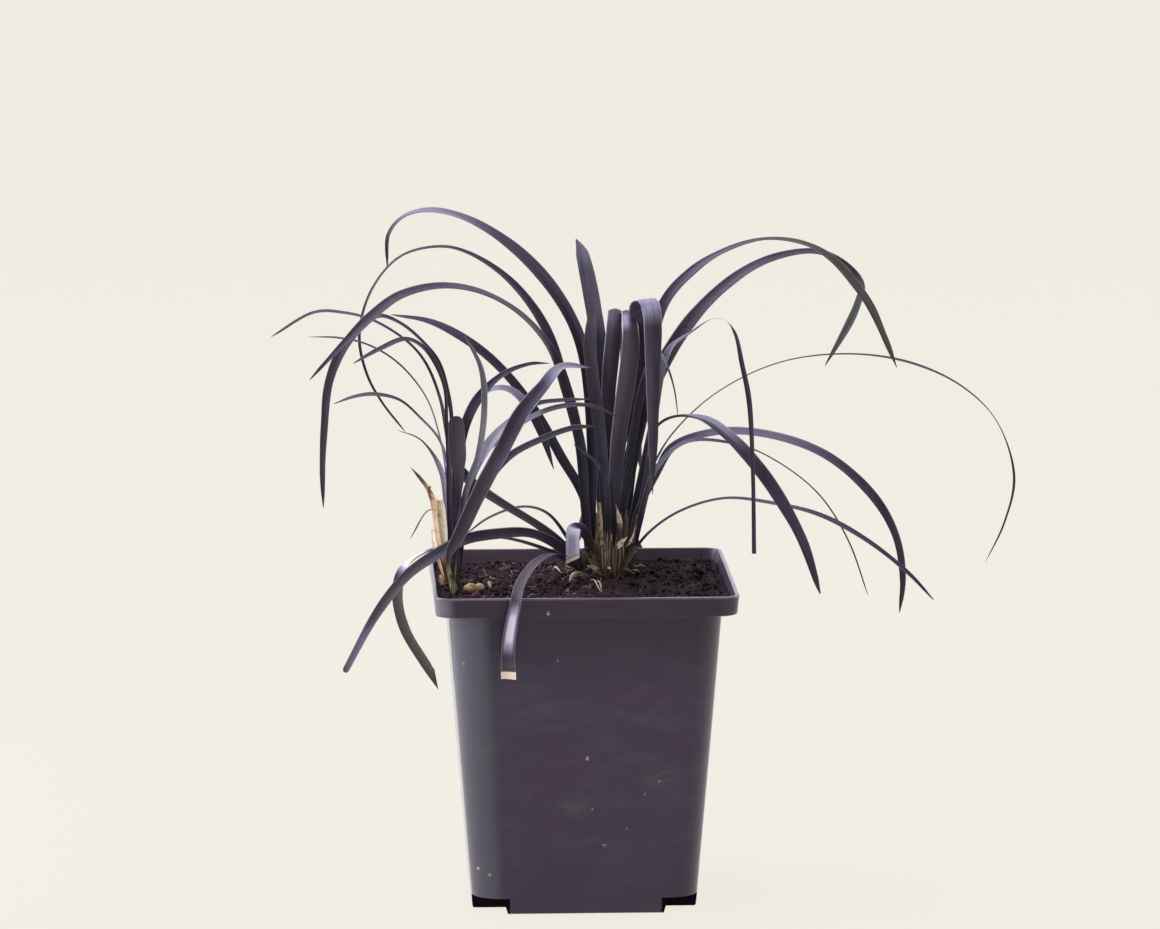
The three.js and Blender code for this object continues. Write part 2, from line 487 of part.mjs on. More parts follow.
function makeSoil() {
  const blocks = cornerBlocks(WALL + SOIL_GAP, FOOT_HEIGHT + WALL + SOIL_GAP);
  let soil = cavity(SOIL_GAP, POT_HEIGHT + 1).subtract(blocks).intersect(soilBlock());
  for (const each of shoots) {
    soil = soil.subtract(stemHole(each));
  }
  soil = soil.subtract(tuberBody(HOLE_GAP));
  return part('potting_soil', geometryOf(soil), SOIL_COLOUR, 1);
}

const tuber = part('tuber_yellow', geometryOf(tuberBody(0)), TUBER_COLOUR, 0.6);

export default new THREE.Group().add(makePot(), makeSoil(), ...shoots.map(makeShoot), tuber);
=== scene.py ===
"""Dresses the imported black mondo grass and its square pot.

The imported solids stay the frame: every leafy shoot is drawn again as finer blades along the
same points, the pot and the soil get their moulded and crumbly surfaces, and the small things
on the soil are added. Lengths in the tables are millimetres, and meshes are made in metres.
"""

import logging
import math
import random
from collections.abc import Iterable, Sequence
from dataclasses import dataclass
from enum import Enum
from functools import cache

import bmesh
import bpy
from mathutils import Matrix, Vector, noise


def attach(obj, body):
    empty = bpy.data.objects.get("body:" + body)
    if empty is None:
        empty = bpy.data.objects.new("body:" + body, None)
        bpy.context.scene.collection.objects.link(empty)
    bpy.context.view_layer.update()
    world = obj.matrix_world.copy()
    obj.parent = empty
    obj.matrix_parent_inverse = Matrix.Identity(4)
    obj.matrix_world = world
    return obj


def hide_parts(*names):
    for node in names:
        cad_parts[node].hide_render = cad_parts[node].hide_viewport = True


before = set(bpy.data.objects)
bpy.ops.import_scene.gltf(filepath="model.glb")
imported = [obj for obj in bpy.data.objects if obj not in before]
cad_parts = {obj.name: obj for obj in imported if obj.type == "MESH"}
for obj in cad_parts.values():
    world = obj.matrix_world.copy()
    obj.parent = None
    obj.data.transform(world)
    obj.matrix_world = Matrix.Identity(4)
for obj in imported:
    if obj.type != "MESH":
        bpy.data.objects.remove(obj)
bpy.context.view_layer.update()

log = logging.getLogger("mondo_grass")

MM = 0.001
TURN = 2 * math.pi
BODY = "root"

Point = tuple[float, float, float]
Colour = tuple[float, float, float]
Sockets = dict[int | str, object]


# ---- Shader maths -----------------------------------------------------------------------
class Wire:
    """A socket whose operators and methods add the nodes that follow it."""

    def __init__(self, graph: "Graph", socket: bpy.types.NodeSocket) -> None:
        """Keeps the socket and the graph it belongs to."""
        self.graph = graph
        self.socket = socket

    def _math(self, operation: str, *values: "Wire | float") -> "Wire":
        """Adds one Math node over the given values."""
        return self.graph.add("ShaderNodeMath", {"operation": operation}, dict(enumerate(values)))

    def __add__(self, other: "Wire | float") -> "Wire":
        """Adds."""
        return self._math("ADD", self, other)

    def __sub__(self, other: "Wire | float") -> "Wire":
        """Subtracts."""
        return self._math("SUBTRACT", self, other)

    def __rsub__(self, other: float) -> "Wire":
        """Subtracts from a number."""
        return self._math("SUBTRACT", other, self)

    def __mul__(self, other: "Wire | float") -> "Wire":
        """Multiplies."""
        return self._math("MULTIPLY", self, other)

    def __pow__(self, other: float) -> "Wire":
        """Raises to a power."""
        return self._math("POWER", self, other)

    __radd__ = __add__
    __rmul__ = __mul__

    def wave(self) -> "Wire":
        """Takes the sine."""
        return self._math("SINE", self)

    def size(self) -> "Wire":
        """Drops the sign."""
        return self._math("ABSOLUTE", self)

    def over(self, low: float, high: float) -> "Wire":
        """Rises smoothly from 0 at low to 1 at high, or falls where low is the larger."""
        if low > high:
            return 1 - self.over(high, low)
        settings = {"interpolation_type": "SMOOTHSTEP"}
        return self.graph.add("ShaderNodeMapRange", settings, {0: self, 1: low, 2: high})

    def noise(self, scale: float = 1, detail: float = 3, roughness: float = 0.55) -> "Wire":
        """Noise of about 0.5, read where this vector says."""
        values = {"Vector": self, "Scale": scale, "Detail": detail, "Roughness": roughness}
        return self.graph.add("ShaderNodeTexNoise", {}, values)

    def cells(self, scale: float) -> "Wire":
        """The distance to the nearest of scattered points."""
        return self.graph.add("ShaderNodeTexVoronoi", {}, {"Vector": self, "Scale": scale})

    def scaled(self, *by: float) -> "Wire":
        """Stretches a vector by a factor for each axis."""
        return self.graph.add("ShaderNodeVectorMath", {"operation": "MULTIPLY"}, {0: self, 1: by})

    def split(self) -> "tuple[Wire, Wire, Wire]":
        """The three parts of a vector."""
        node = self.graph.add("ShaderNodeSeparateXYZ", {}, {0: self}).socket.node
        return tuple(Wire(self.graph, output) for output in node.outputs)

    def bump(self, strength: float, distance: float) -> "Wire":
        """A normal bent by this height."""
        values = {"Strength": strength, "Distance": distance, "Height": self}
        return self.graph.add("ShaderNodeBump", {}, values)


class Graph:
    """The node tree of one material or of the world."""

    def __init__(self, tree: bpy.types.NodeTree) -> None:
        """Empties the tree."""
        self.tree = tree
        tree.nodes.clear()

    def add(
        self,
        kind: str,
        settings: dict[str, object] | None = None,
        values: Sockets | None = None,
        output: int | str = 0,
    ) -> Wire:
        """Adds one node.

        Args:
            kind: The node's type.
            settings: Its own settings, made before its sockets are filled.
            values: A value or a wire for each named or numbered input.
            output: Which output to hand on.

        Returns:
            The chosen output.
        """
        node = self.tree.nodes.new(kind)
        for name, value in (settings or {}).items():
            setattr(node, name, value)
        for name, value in (values or {}).items():
            if isinstance(value, Wire):
                self.tree.links.new(value.socket, node.inputs[name])
            else:
                node.inputs[name].default_value = value
        return Wire(self, node.outputs[output] if len(node.outputs) else node.inputs[0])

    def paint(self, shade: Wire | Colour, *coats: tuple[Wire | float, Wire | Colour]) -> Wire:
        """Lays colours over a first one, each as strongly as the mask before it says."""
        for mask, coat in coats:
            low, high = (x if isinstance(x, Wire) else (*x, 1) for x in (shade, coat))
            shade = self.add("ShaderNodeMix", {"data_type": "RGBA"}, {0: mask, 6: low, 7: high}, 2)
        return shade

    def mark(self, name: str) -> Wire:
        """A vector that the mesh holds for each of its points."""
        return self.add("ShaderNodeAttribute", {"attribute_name": name}, {}, "Vector")

    def place(self) -> Wire:
        """Where the surface is, in metres."""
        return self.add("ShaderNodeTexCoord", {}, {}, "Object")


@dataclass(frozen=True)
class Finish:
    """What every finish shares: its name and the shader's constant settings."""

    name: str
    specular: float = 0.5
    sheen: float = 0.0
    sheen_colour: Colour = (0.78, 0.72, 1.0)

    @cache
    def material(self) -> bpy.types.Material:
        """Makes the material once.

        Returns:
            The material with its nodes.
        """
        made = bpy.data.materials.new(self.name)
        made.use_nodes = True
        graph = Graph(made.node_tree)
        values: Sockets = {
            "Specular IOR Level": self.specular,
            "Sheen Weight": self.sheen,
            "Sheen Tint": (*self.sheen_colour, 1),
        }
        shader = graph.add("ShaderNodeBsdfPrincipled", {}, {**values, **self.sockets(graph)})
        graph.add("ShaderNodeOutputMaterial", {}, {"Surface": shader})
        return made

    def sockets(self, graph: Graph) -> Sockets:
        """The shader's sockets that change over the surface.

        Args:
            graph: The material's nodes.

        Returns:
            A wire or value for each socket.
        """
        raise NotImplementedError


# ---- Finishes ---------------------------------------------------------------------------
@dataclass(frozen=True)
class LeafFinish(Finish):
    """Near-black veined blades with dry ends, and a painted violet sheen where they face up."""

    dark: Colour = (0.026, 0.020, 0.035)
    soft: Colour = (0.043, 0.035, 0.059)
    streak: Colour = (0.085, 0.075, 0.116)
    # violet and pale are painted sheen and painted highlight; edge is the margins' colour, partly
    # painted highlight.
    violet: Colour = (0.38, 0.36, 0.51)
    pale: Colour = (0.74, 0.73, 0.83)
    edge: Colour = (0.58, 0.55, 0.70)
    olive: Colour = (0.098, 0.090, 0.058)
    grey: Colour = (0.165, 0.178, 0.182)
    brown: Colour = (0.088, 0.064, 0.066)
    dry: Colour = (0.93, 0.76, 0.66)
    scorch: Colour = (0.20, 0.09, 0.045)
    foot: Colour = (0.075, 0.062, 0.036)
    vein_gap: float = 0.46
    vein_depth: float = 0.00006

    def sockets(self, graph: Graph) -> Sockets:
        """Builds the blade's colour, gloss and veins.

        Args:
            graph: The material's nodes.

        Returns:
            A wire for each socket that changes.
        """
        flat = graph.mark("flat")
        across, _, _ = flat.split()
        bloom, olive, dry = graph.mark("state").split()
        margin, tip, foot = graph.mark("rim").split()
        grey, brown, edge = graph.mark("tint").split()
        streaks = flat.scaled(2.6, 0.06, 1).noise(1, 4, 0.6)
        patches = flat.scaled(0.25, 0.07, 1).noise(1, 2)
        veins = (across * (TURN / self.vein_gap)).wave()
        # Painted highlight: where the painted sheen is strongest the blade turns pale.
        painted_highlight = bloom.over(1.05, 1.6) * streaks.over(0.1, 0.5)
        scorched = (tip + streaks * 0.8).over(4.2, 2.6) * dry.over(0.01, 0.2)
        shade = graph.paint(
            self.dark,
            (patches.over(0.35, 0.7), self.soft),
            (streaks.over(0.5, 0.8) * 0.5, self.streak),
            (brown * streaks.over(0.2, 0.6), self.brown),
            (olive * streaks.over(0.15, 0.6), self.olive),
            (grey * streaks.over(0.1, 0.65), self.grey),
            # painted violet sheen
            (bloom * streaks.over(0.05, 0.6), self.violet),
            (painted_highlight, self.pale),
            # pale margins: partly their own colour, partly painted highlight
            (margin.over(0.83, 0.97) * edge, self.edge),
            (foot * streaks.over(0.2, 0.7), self.foot),
            (scorched * 0.8, self.scorch),
            (dry.over(0.45, 0.55), self.dry),
        )
        rough = 0.42 + streaks * 0.16 + bloom * 0.1 + foot * 0.2
        ribs = (veins * 0.5 + streaks * 0.5).bump(0.5, self.vein_depth)
        return {"Base Color": shade, "Roughness": rough, "Normal": ribs}


@dataclass(frozen=True)
class PotFinish(Finish):
    """Dark grey-violet moulded plastic with faint blotches, scuffs and stuck specks.

    The places are metres on the pot: the rim band starts at band_z and the lip at lip_z, the
    flat of a side ends flat_half from its middle and widens with height by flare, and the
    corners are drawn up to recess_z. Some of its light and shade is painted into the colour.
    """

    base: Colour = (0.0370, 0.0200, 0.0520)
    cool: Colour = (0.032, 0.025, 0.054)
    # shade_tone is painted shade, inside painted light on the lip and back inner wall, the two
    # highlight colours painted highlights, and recess painted shadow.
    shade_tone: Colour = (0.012, 0.0045, 0.019)
    smear: Colour = (0.068, 0.058, 0.078)
    inside: Colour = (0.135, 0.095, 0.122)
    corner_highlight: Colour = (0.060, 0.056, 0.078)
    band_corner_highlight: Colour = (0.17, 0.155, 0.20)
    recess: Colour = (0.004, 0.002, 0.006)
    chalk: Colour = (0.46, 0.43, 0.45)
    haze: Colour = (0.105, 0.098, 0.088)
    earth: Colour = (0.028, 0.02, 0.018)
    band_z: tuple[float, float] = (0.0905, 0.0912)
    lip_z: tuple[float, float] = (0.0963, 0.0967)
    recess_z: tuple[float, float] = (0.00485, 0.0046)
    recess_at: tuple[float, float] = (0.0222, 0.0228)
    corner_fade: tuple[float, float] = (-0.001, 0.003)
    flat_half: float = 0.0241
    flare: float = 0.0497
    band_step: float = 0.0103
    specks: tuple[Point, ...] = ()
    smudges: tuple[Point, ...] = ()

    def sockets(self, graph: Graph) -> Sockets:
        """Builds the plastic's colour, gloss and grain.

        Args:
            graph: The material's nodes.

        Returns:
            A wire for each socket that changes.
        """
        place = graph.place()
        x, y, z = place.split()
        clouds = place.noise(26, 3)
        grain = place.noise(900, 2)
        smear = place.scaled(0.35, 0.35, 1).noise(190, 4, 0.65)
        scuffs = place.scaled(0.5, 0.5, 3).noise(260, 5, 0.7)
        dust = scuffs.over(0.66, 0.8) * clouds.over(0.4, 0.7)
        # Painted shade: darker from the middle up to and over the rim band, as under its overhang,
        # and a little towards the bottom.
        level = z.over(0.064, 0.089) * 0.8 + z.over(0.045, 0.0) * 0.35
        band = z.over(*self.band_z)
        # Painted highlight: the rounded left corner is made lighter, the band's left end more so,
        # and the band's right end a little.
        start = self.flat_half + z * self.flare + band * self.band_step
        left = ((0 - x) - start).over(*self.corner_fade)
        right = (x - start).over(*self.corner_fade) * band * 0.4
        # Painted light: the back inner wall above the soil and the top of the lip are made lighter.
        within = band * y.over(0.034, 0.040) * y.over(0.0443, 0.0438)
        soiled = smear.over(0.5, 0.7) * z.over(0.012, 0.0)
        shade = graph.paint(
            self.base,
            (clouds.over(0.38, 0.62), self.cool),
            (smear.over(0.42, 0.8) * 0.5, self.smear),
            (level, self.shade_tone),
            (left + right, self.corner_highlight),
            (left * band * 0.45, self.band_corner_highlight),
            (within + z.over(*self.lip_z), self.inside),
            (dust * 0.22, self.chalk),
            (soiled * 0.5, self.earth),
        )
        wobble = place.noise(1400, 2) * 0.0011
        front = y.over(0, -0.01)
        for across, height, radius in self.smudges:
            dx, dz = x - across * MM, (z - height * MM) * 1.5
            near = (dx * dx + dz * dz) ** 0.5
            spread = near.over(radius * MM, 0) * scuffs.over(0.35, 0.7) * front
            shade = graph.paint(shade, (spread * 0.55, self.haze))
        for across, height, radius in self.specks:
            dx, dz = (x - across * MM).size() + wobble, (z - height * MM).size() + wobble * 0.6
            near = (dx * dx + dz * dz) ** 0.5
            spot = near.over((radius + 0.6) * MM, radius * 0.8 * MM) * front
            shade = graph.paint(shade, (spot * 0.75, self.chalk))
        # Painted shadow: inside the raised corners the pot is near-black, and metallic there keeps
        # diffuse light off it.
        recess = x.size().over(*self.recess_at) * y.size().over(*self.recess_at)
        recess = recess * z.over(*self.recess_z)
        edge_on = graph.add("ShaderNodeLayerWeight", {}, {"Blend": 0.5}, "Facing")
        return {
            "Base Color": graph.paint(shade, (recess, self.recess)),
            "Roughness": 0.24 + smear * 0.12 + dust * 0.2 + recess * 0.4,
            "Metallic": recess,
            "Coat Weight": edge_on.over(0.72, 0.95) * 0.9,
            "Coat Roughness": 0.14,
            "Normal": (grain * 0.5 + smear * 0.5).bump(0.25, 0.00008),
        }


@dataclass(frozen=True)
class SoilFinish(Finish):
    """Dark brown peat, redder and drier on its lumps, with near-black painted shade in its dips."""

    shaded_hollow: Colour = (0.0050, 0.0030, 0.0045)
    damp: Colour = (0.037, 0.0185, 0.0240)
    dry: Colour = (0.150, 0.076, 0.080)
    wet: Colour = (0.0070, 0.0028, 0.0055)
    fleck: Colour = (0.42, 0.27, 0.18)
    wet_from: tuple[float, float] = (0.004, 0.018)

    def sockets(self, graph: Graph) -> Sockets:
        """Builds the soil's colour and crumb.

        Args:
            graph: The material's nodes.

        Returns:
            A wire for each socket that changes.
        """
        place = graph.place()
        x, _, _ = place.split()
        height, tone, _ = graph.mark("soil").split()
        lumps = place.noise(420, 4, 0.65)
        fine = place.noise(1500, 3, 0.6)
        flecks = place.cells(800).over(0.17, 0.1) * lumps.over(0.5, 0.62)
        shade = graph.paint(
            self.shaded_hollow,
            # Painted shade: the lower the surface, the underside of a crumb and the soil against
            # the wall show the near-black colour.
            ((lumps + height * 0.35).over(0.3, 0.62), self.damp),
            ((fine + tone * 0.35).over(0.62, 0.98), self.dry),
            (x.over(*self.wet_from) * 0.85, self.wet),
            (flecks * 0.4, self.fleck),
        )
        relief = (lumps + fine * 0.6).bump(0.9, 0.0006)
        return {"Base Color": shade, "Roughness": 0.7 + fine * 0.25, "Normal": relief}


@dataclass(frozen=True)
class DryFinish(Finish):
    """Dry papery or fibrous tissue: sheaths, straw and root threads."""

    light: Colour = (0.86, 0.66, 0.46)
    mid: Colour = (0.62, 0.38, 0.25)
    dark: Colour = (0.07, 0.038, 0.026)
    cream: Colour = (0.95, 0.85, 0.62)
    moss: Colour = (0.24, 0.21, 0.07)
    soot: Colour = (0.035, 0.026, 0.034)
    darkness: float = 0.35

    def sockets(self, graph: Graph) -> Sockets:
        """Builds the tissue's colour and fibres.

        Args:
            graph: The material's nodes.

        Returns:
            A wire for each socket that changes.
        """
        flat = graph.mark("flat")
        pale, olive, _ = graph.mark("state").split()
        grey, brown, _ = graph.mark("tint").split()
        fibres = flat.scaled(5.5, 0.35, 1).noise(1, 4, 0.65)
        blots = flat.scaled(1.3, 0.6, 1).noise(1, 4, 0.65)
        spoiled = blots.over(1 - self.darkness, 1.1 - self.darkness)
        shade = graph.paint(
            self.mid,
            (fibres.over(0.3, 0.7), self.light),
            (olive * blots.over(0.3, 0.55), self.moss),
            (pale * fibres.over(0.2, 0.55), self.cream),
            (spoiled * 0.85, self.dark),
            (brown * fibres.over(0.05, 0.5), self.dark),
            (grey * fibres.over(0.1, 0.6), self.soot),
        )
        ribs = fibres.bump(0.7, 0.00015)
        return {"Base Color": shade, "Roughness": 0.7 + fibres * 0.2, "Normal": ribs}


@dataclass(frozen=True)
class TuberFinish(Finish):
    """The waxy yellow skin of the small tuber, browned in its creases."""

    skin: Colour = (0.66, 0.44, 0.11)
    pale: Colour = (0.86, 0.72, 0.36)
    crease: Colour = (0.16, 0.075, 0.025)

    def sockets(self, graph: Graph) -> Sockets:
        """Builds the skin's colour and pores.

        Args:
            graph: The material's nodes.

        Returns:
            A wire for each socket that changes.
        """
        place = graph.place()
        patches = place.noise(520, 3)
        pores = place.noise(2200, 2)
        shade = graph.paint(
            self.skin,
            (patches.over(0.35, 0.62), self.pale),
            ((patches * 0.5 + pores * 0.5).over(0.47, 0.4), self.crease),
        )
        relief = (patches + pores * 0.4).bump(0.5, 0.0003)
        return {"Base Color": shade, "Roughness": 0.42 + pores * 0.3, "Normal": relief}


@dataclass(frozen=True)
class FloorFinish(Finish):
    """A pale paper floor that gives off most of its own light, so that shadows on it stay faint."""

    paper: Colour = (0.04, 0.039, 0.035)
    tooth: Colour = (0.034, 0.033, 0.029)
    glow: Colour = (0.825, 0.80, 0.717)

    def sockets(self, graph: Graph) -> Sockets:
        """Builds the paper's colour.

        Args:
            graph: The material's nodes.

        Returns:
            A wire or value for each socket.
        """
        return {
            "Base Color": graph.paint(self.paper, (graph.place().noise(700, 2) * 0.1, self.tooth)),
            "Roughness": 1.0,
            "Emission Color": (*self.glow, 1),
            "Emission Strength": 1.0,
        }


BLACK_LEAF = LeafFinish("black_leaf_crown", specular=0.34, sheen=0.05)
YOUNG_LEAF = LeafFinish("black_leaf_green_foot", specular=0.34, sheen=0.05, foot=(0.50, 0.54, 0.21))
POT_PLASTIC = PotFinish(
    "moulded_plastic",
    specular=0.43,
    sheen=0.12,
    specks=(
        (-11.6, 92.5, 0.75), (-8.6, 77.5, 0.5), (0.2, 47.6, 0.8), (12.0, 26.0, 0.55),
        (5.4, 21.0, 0.6), (-36.2, 76.3, 0.6), (-31.8, 13.6, 0.75), (21.5, 40.5, 0.45),
        (-28.6, 12.2, 0.6), (-7.0, 65.0, 0.4), (17.4, 36.6, 0.5), (1.8, 32.0, 0.35),
    ),
    smudges=((21.0, 41.0, 8.0), (-4.0, 33.5, 7.5), (9.0, 19.0, 6.0), (-30.0, 50.0, 5.0)),
)
PEAT = SoilFinish("peat", specular=0.2)
TAN_SHEATH = DryFinish("papery_sheath", specular=0.3, dark=(0.25, 0.115, 0.07), darkness=0.43)
OLD_SHEATH = DryFinish(
    "fibrous_sheath", specular=0.3, light=(0.40, 0.31, 0.18), mid=(0.12, 0.088, 0.055), darkness=0.5
)
ROOT_THREAD = DryFinish(
    "root_thread", specular=0.3, light=(0.40, 0.25, 0.16), mid=(0.13, 0.065, 0.045), darkness=0.4
)
PALE_ROOT = DryFinish(
    "pale_root", specular=0.35, light=(0.80, 0.66, 0.50), mid=(0.50, 0.34, 0.21), darkness=0.2
)
TUBER_SKIN = TuberFinish("tuber_skin", specular=0.5)
PAPER_FLOOR = FloorFinish("paper_floor", specular=0.0)


# ---- Forms ------------------------------------------------------------------------------
def faces_out(mesh: bpy.types.Mesh) -> bpy.types.Mesh:
    """Turns all faces of a mesh outwards and hands it back."""
    skin = bmesh.new()
    skin.from_mesh(mesh)
    bmesh.ops.recalc_face_normals(skin, faces=skin.faces)
    skin.to_mesh(mesh)
    skin.free()
    return mesh


def put_in_scene(name: str, data: bpy.types.ID) -> bpy.types.Object:
    """Makes an object of a mesh, light or camera and puts it in the scene."""
    made = bpy.data.objects.new(name, data)
    bpy.context.scene.collection.objects.link(made)
    return made


@dataclass(frozen=True)
class Piece:
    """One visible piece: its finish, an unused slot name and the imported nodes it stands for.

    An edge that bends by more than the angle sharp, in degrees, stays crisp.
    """

    name: str
    finish: Finish
    slot: str
    replaced: tuple[str, ...] = ()
    sharp: float = 40

    def dress(self, mesh: bpy.types.Mesh) -> None:
        """Turns a mesh in metres into the dressed piece that rides with the pot.

        Args:
            mesh: The mesh.
        """
        faces_out(mesh)
        mesh.shade_smooth()
        mesh.set_sharp_from_angle(angle=math.radians(self.sharp))
        mesh.materials.append(self.finish.material())
        made = put_in_scene(self.name, mesh)
        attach(made, BODY)
        if self.replaced:
            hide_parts(*self.replaced)
        log.info("%s: %d faces", self.name, len(mesh.polygons))


class Form:
    """Points and faces of one piece, gathered in millimetres before they become a mesh."""

    def __init__(self, *marks: str) -> None:
        """Starts empty, with the names of the vectors that its finish reads."""
        self.points: list[Vector] = []
        self.faces: list[tuple[int, ...]] = []
        self.marks: dict[str, list[Point]] = {name: [] for name in marks}
        self.chart: list[tuple[float, float]] = []

    def point(self, at: Vector, **marks: Point) -> int:
        """Adds a point with its marks and hands back its number."""
        self.points.append(at)
        for name, rows in self.marks.items():
            rows.append(marks.get(name, (0.0, 0.0, 0.0)))
        return len(self.points) - 1

    def ring(self, places: Iterable[Vector], **marks: Point) -> list[int]:
        """Adds points that share their marks and hands back their numbers."""
        return [self.point(at, **marks) for at in places]

    def loft(
        self,
        rings: Sequence[Sequence[int]],
        caps: tuple[bool, bool] = (True, True),
        band: tuple[float, float, Sequence[float]] | None = None,
    ) -> None:
        """Joins closed rings of equally many points.

        Args:
            rings: The rings' point numbers, first to last.
            caps: Whether the first and last ring are closed.
            band: The share of the texture's height that the skin may take, low and high, and
                how far along its width each ring lies.
        """
        count = len(rings[0])
        low, high, run = band or (0, 0, ())
        level = [low + (high - low) * k / count for k in range(count + 1)]
        for row, (near, far) in enumerate(zip(rings, rings[1:])):
            for side in range(count):
                after = (side + 1) % count
                self.faces.append((near[side], near[after], far[after], far[side]))
                if band:
                    u, v, a, b = run[row], run[row + 1], level[side], level[side + 1]
                    self.chart += [(u, a), (u, b), (v, b), (v, a)]
        for ring, wanted, end in ((rings[0][::-1], caps[0], 0), (rings[-1], caps[1], -1)):
            if wanted:
                self.faces.append(tuple(ring))
                if band:
                    self.chart += [(run[end], at) for at in level[:count]]

    def mesh(self, name: str) -> bpy.types.Mesh:
        """Makes the mesh.

        Args:
            name: Its name.

        Returns:
            The mesh in metres, with its marks and, where it was charted, its texture map.
        """
        mesh = bpy.data.meshes.new(name)
        mesh.from_pydata([tuple(p * MM) for p in self.points], [], self.faces)
        if self.chart and len(self.chart) == len(mesh.loops):
            chart = mesh.uv_layers.new(name="OFBake")
            chart.data.foreach_set("uv", [x for pair in self.chart for x in pair])
        for mark, rows in self.marks.items():
            layer = mesh.attributes.new(mark, "FLOAT_VECTOR", "POINT")
            layer.data.foreach_set("vector", [x for row in rows for x in row])
        return mesh

    def piece(
        self, name: str, finish: Finish, slot: str, *replaced: str, sharp: float = 40
    ) -> None:
        """Makes the mesh and dresses it as a piece."""
        Piece(name, finish, slot, replaced, sharp).dress(self.mesh(name))


def ease(value: float, low: float, high: float) -> float:
    """Rises smoothly from 0 at low to 1 at high, which may be the smaller."""
    share = min(max((value - low) / (high - low), 0.0), 1.0)
    return share * share * (3 - 2 * share)


def along(values: Sequence[float], t: float) -> float:
    """Reads a short list at fraction t, easing between its entries."""
    place = t * (len(values) - 1)
    lower = min(int(place), len(values) - 2)
    return values[lower] + (values[lower + 1] - values[lower]) * ease(place - lower, 0, 1)


def circle(count: int) -> list[Point]:
    """Angles all round, each with its cosine and sine."""
    turns = [TURN * k / count for k in range(count)]
    return [(turn, math.cos(turn), math.sin(turn)) for turn in turns]


def within(value: float, limit: float) -> float:
    """Keeps a number between a limit and its negative."""
    return min(max(value, -limit), limit)


class Path:
    """A smooth line through points: a centripetal Catmull-Rom curve."""

    END_DENSITY = 1.6
    END_CROWDING = 1.7

    def __init__(self, points: Sequence[Sequence[float]]) -> None:
        """Keeps the points and one more past each end."""
        inner = [Vector(p) for p in points]
        self.points = [2 * inner[0] - inner[1], *inner, 2 * inner[-1] - inner[-2]]
        self.spans = len(inner) - 1

    def at(self, t: float) -> tuple[Vector, Vector]:
        """The place and heading at a fraction of the line.

        Args:
            t: The fraction, from 0 to 1, where every span takes an equal share.

        Returns:
            The point and the direction of unit length.
        """
        place = t * self.spans
        span = min(int(place), self.spans - 1)
        w = place - span
        p0, p1, p2, p3 = self.points[span:span + 4]
        d0, d1, d2 = (max((b - a).length, 1e-6) ** 0.5 for a, b in ((p0, p1), (p1, p2), (p2, p3)))
        m1 = ((p1 - p0) / d0 - (p2 - p0) / (d0 + d1) + (p2 - p1) / d1) * d1
        m2 = ((p2 - p1) / d1 - (p3 - p1) / (d1 + d2) + (p3 - p2) / d2) * d1
        c2 = -3 * p1 + 3 * p2 - 2 * m1 - m2
        c3 = 2 * p1 - 2 * p2 + m1 + m2
        centre = p1 + m1 * w + c2 * w * w + c3 * w ** 3
        heading = m1 + 2 * c2 * w + 3 * c3 * w * w
        return centre, heading.normalized()

    def stations(self, step: float) -> list[float]:
        """Fractions about a step apart, closer together towards the far end.

        Args:
            step: The distance wanted between stations in millimetres.

        Returns:
            The fractions from 0 to 1.
        """
        found = []
        for span in range(self.spans):
            chord = (self.points[span + 2] - self.points[span + 1]).length
            last = span == self.spans - 1
            count = max(3, math.ceil(chord / step * (self.END_DENSITY if last else 1)))
            for j in range(count):
                share = 1 - (1 - j / count) ** self.END_CROWDING if last else j / count
                found.append((span + share) / self.spans)
        return [*found, 1.0]


def thread(
    form: Form, points: Sequence[Point], radius: float, sides: int = 5, **marks: Point
) -> None:
    """Adds a thin round thread that narrows towards both ends.

    Args:
        form: The form that it joins.
        points: The places that it runs through.
        radius: Its half thickness in the middle.
        sides: How many sides it has.
        **marks: The marks of all its points.
    """
    path = Path(points)
    count = 3 * path.spans
    reach = sum((Vector(b) - Vector(a)).length for a, b in zip(points, points[1:]))
    rings = []
    for step in range(count + 1):
        t = step / count
        centre, heading = path.at(t)
        side = heading.cross(Vector((0.3, 0.2, 1))).normalized()
        up = side.cross(heading)
        thick = radius * (0.25 + 0.75 * math.sin(math.pi * min(max(t, 0.04), 0.96)))
        ring = []
        for turn, cosine, sine in circle(sides):
            at = centre + (side * cosine + up * sine) * thick
            named = {"flat": (turn * thick, t * reach, 0.0), **marks}
            ring.append(form.point(at, **named))
        rings.append(ring)
    form.loft(rings)


# ---- Leafy shoots -----------------------------------------------------------------------
class Tip(Enum):
    """How a blade ends."""

    POINTED = "drawn out to a point"
    ROUNDED = "blunt and round"
    CUT = "cut across"
    TORN = "broken off ragged"


class Side(Enum):
    """Which part of a blade's width a patch takes, seen from its face as it grows upwards."""

    WHOLE = "all of it"
    MIDDLE = "between the margins"
    LEFT = "the left half"
    RIGHT = "the right half"


class Tone(Enum):
    """What a patch does to a blade, as the number of the mark that it adds to."""

    # BLOOM paints sheen and highlight on blades and gives dry strips their own pale cream; EDGE
    # lightens margins, partly as painted highlight.
    BLOOM = 0
    OLIVE = 1
    GREY = 2
    BROWN = 3
    EDGE = 4

    def __call__(
        self, start: float, end: float, strength: float = 1.0, side: Side = Side.WHOLE
    ) -> "Patch":
        """Makes a patch of this tone."""
        return Patch(self, start, end, strength, side)


BLOOM, OLIVE, GREY, BROWN, EDGE = Tone
_, MIDDLE, LEFT, RIGHT = Side


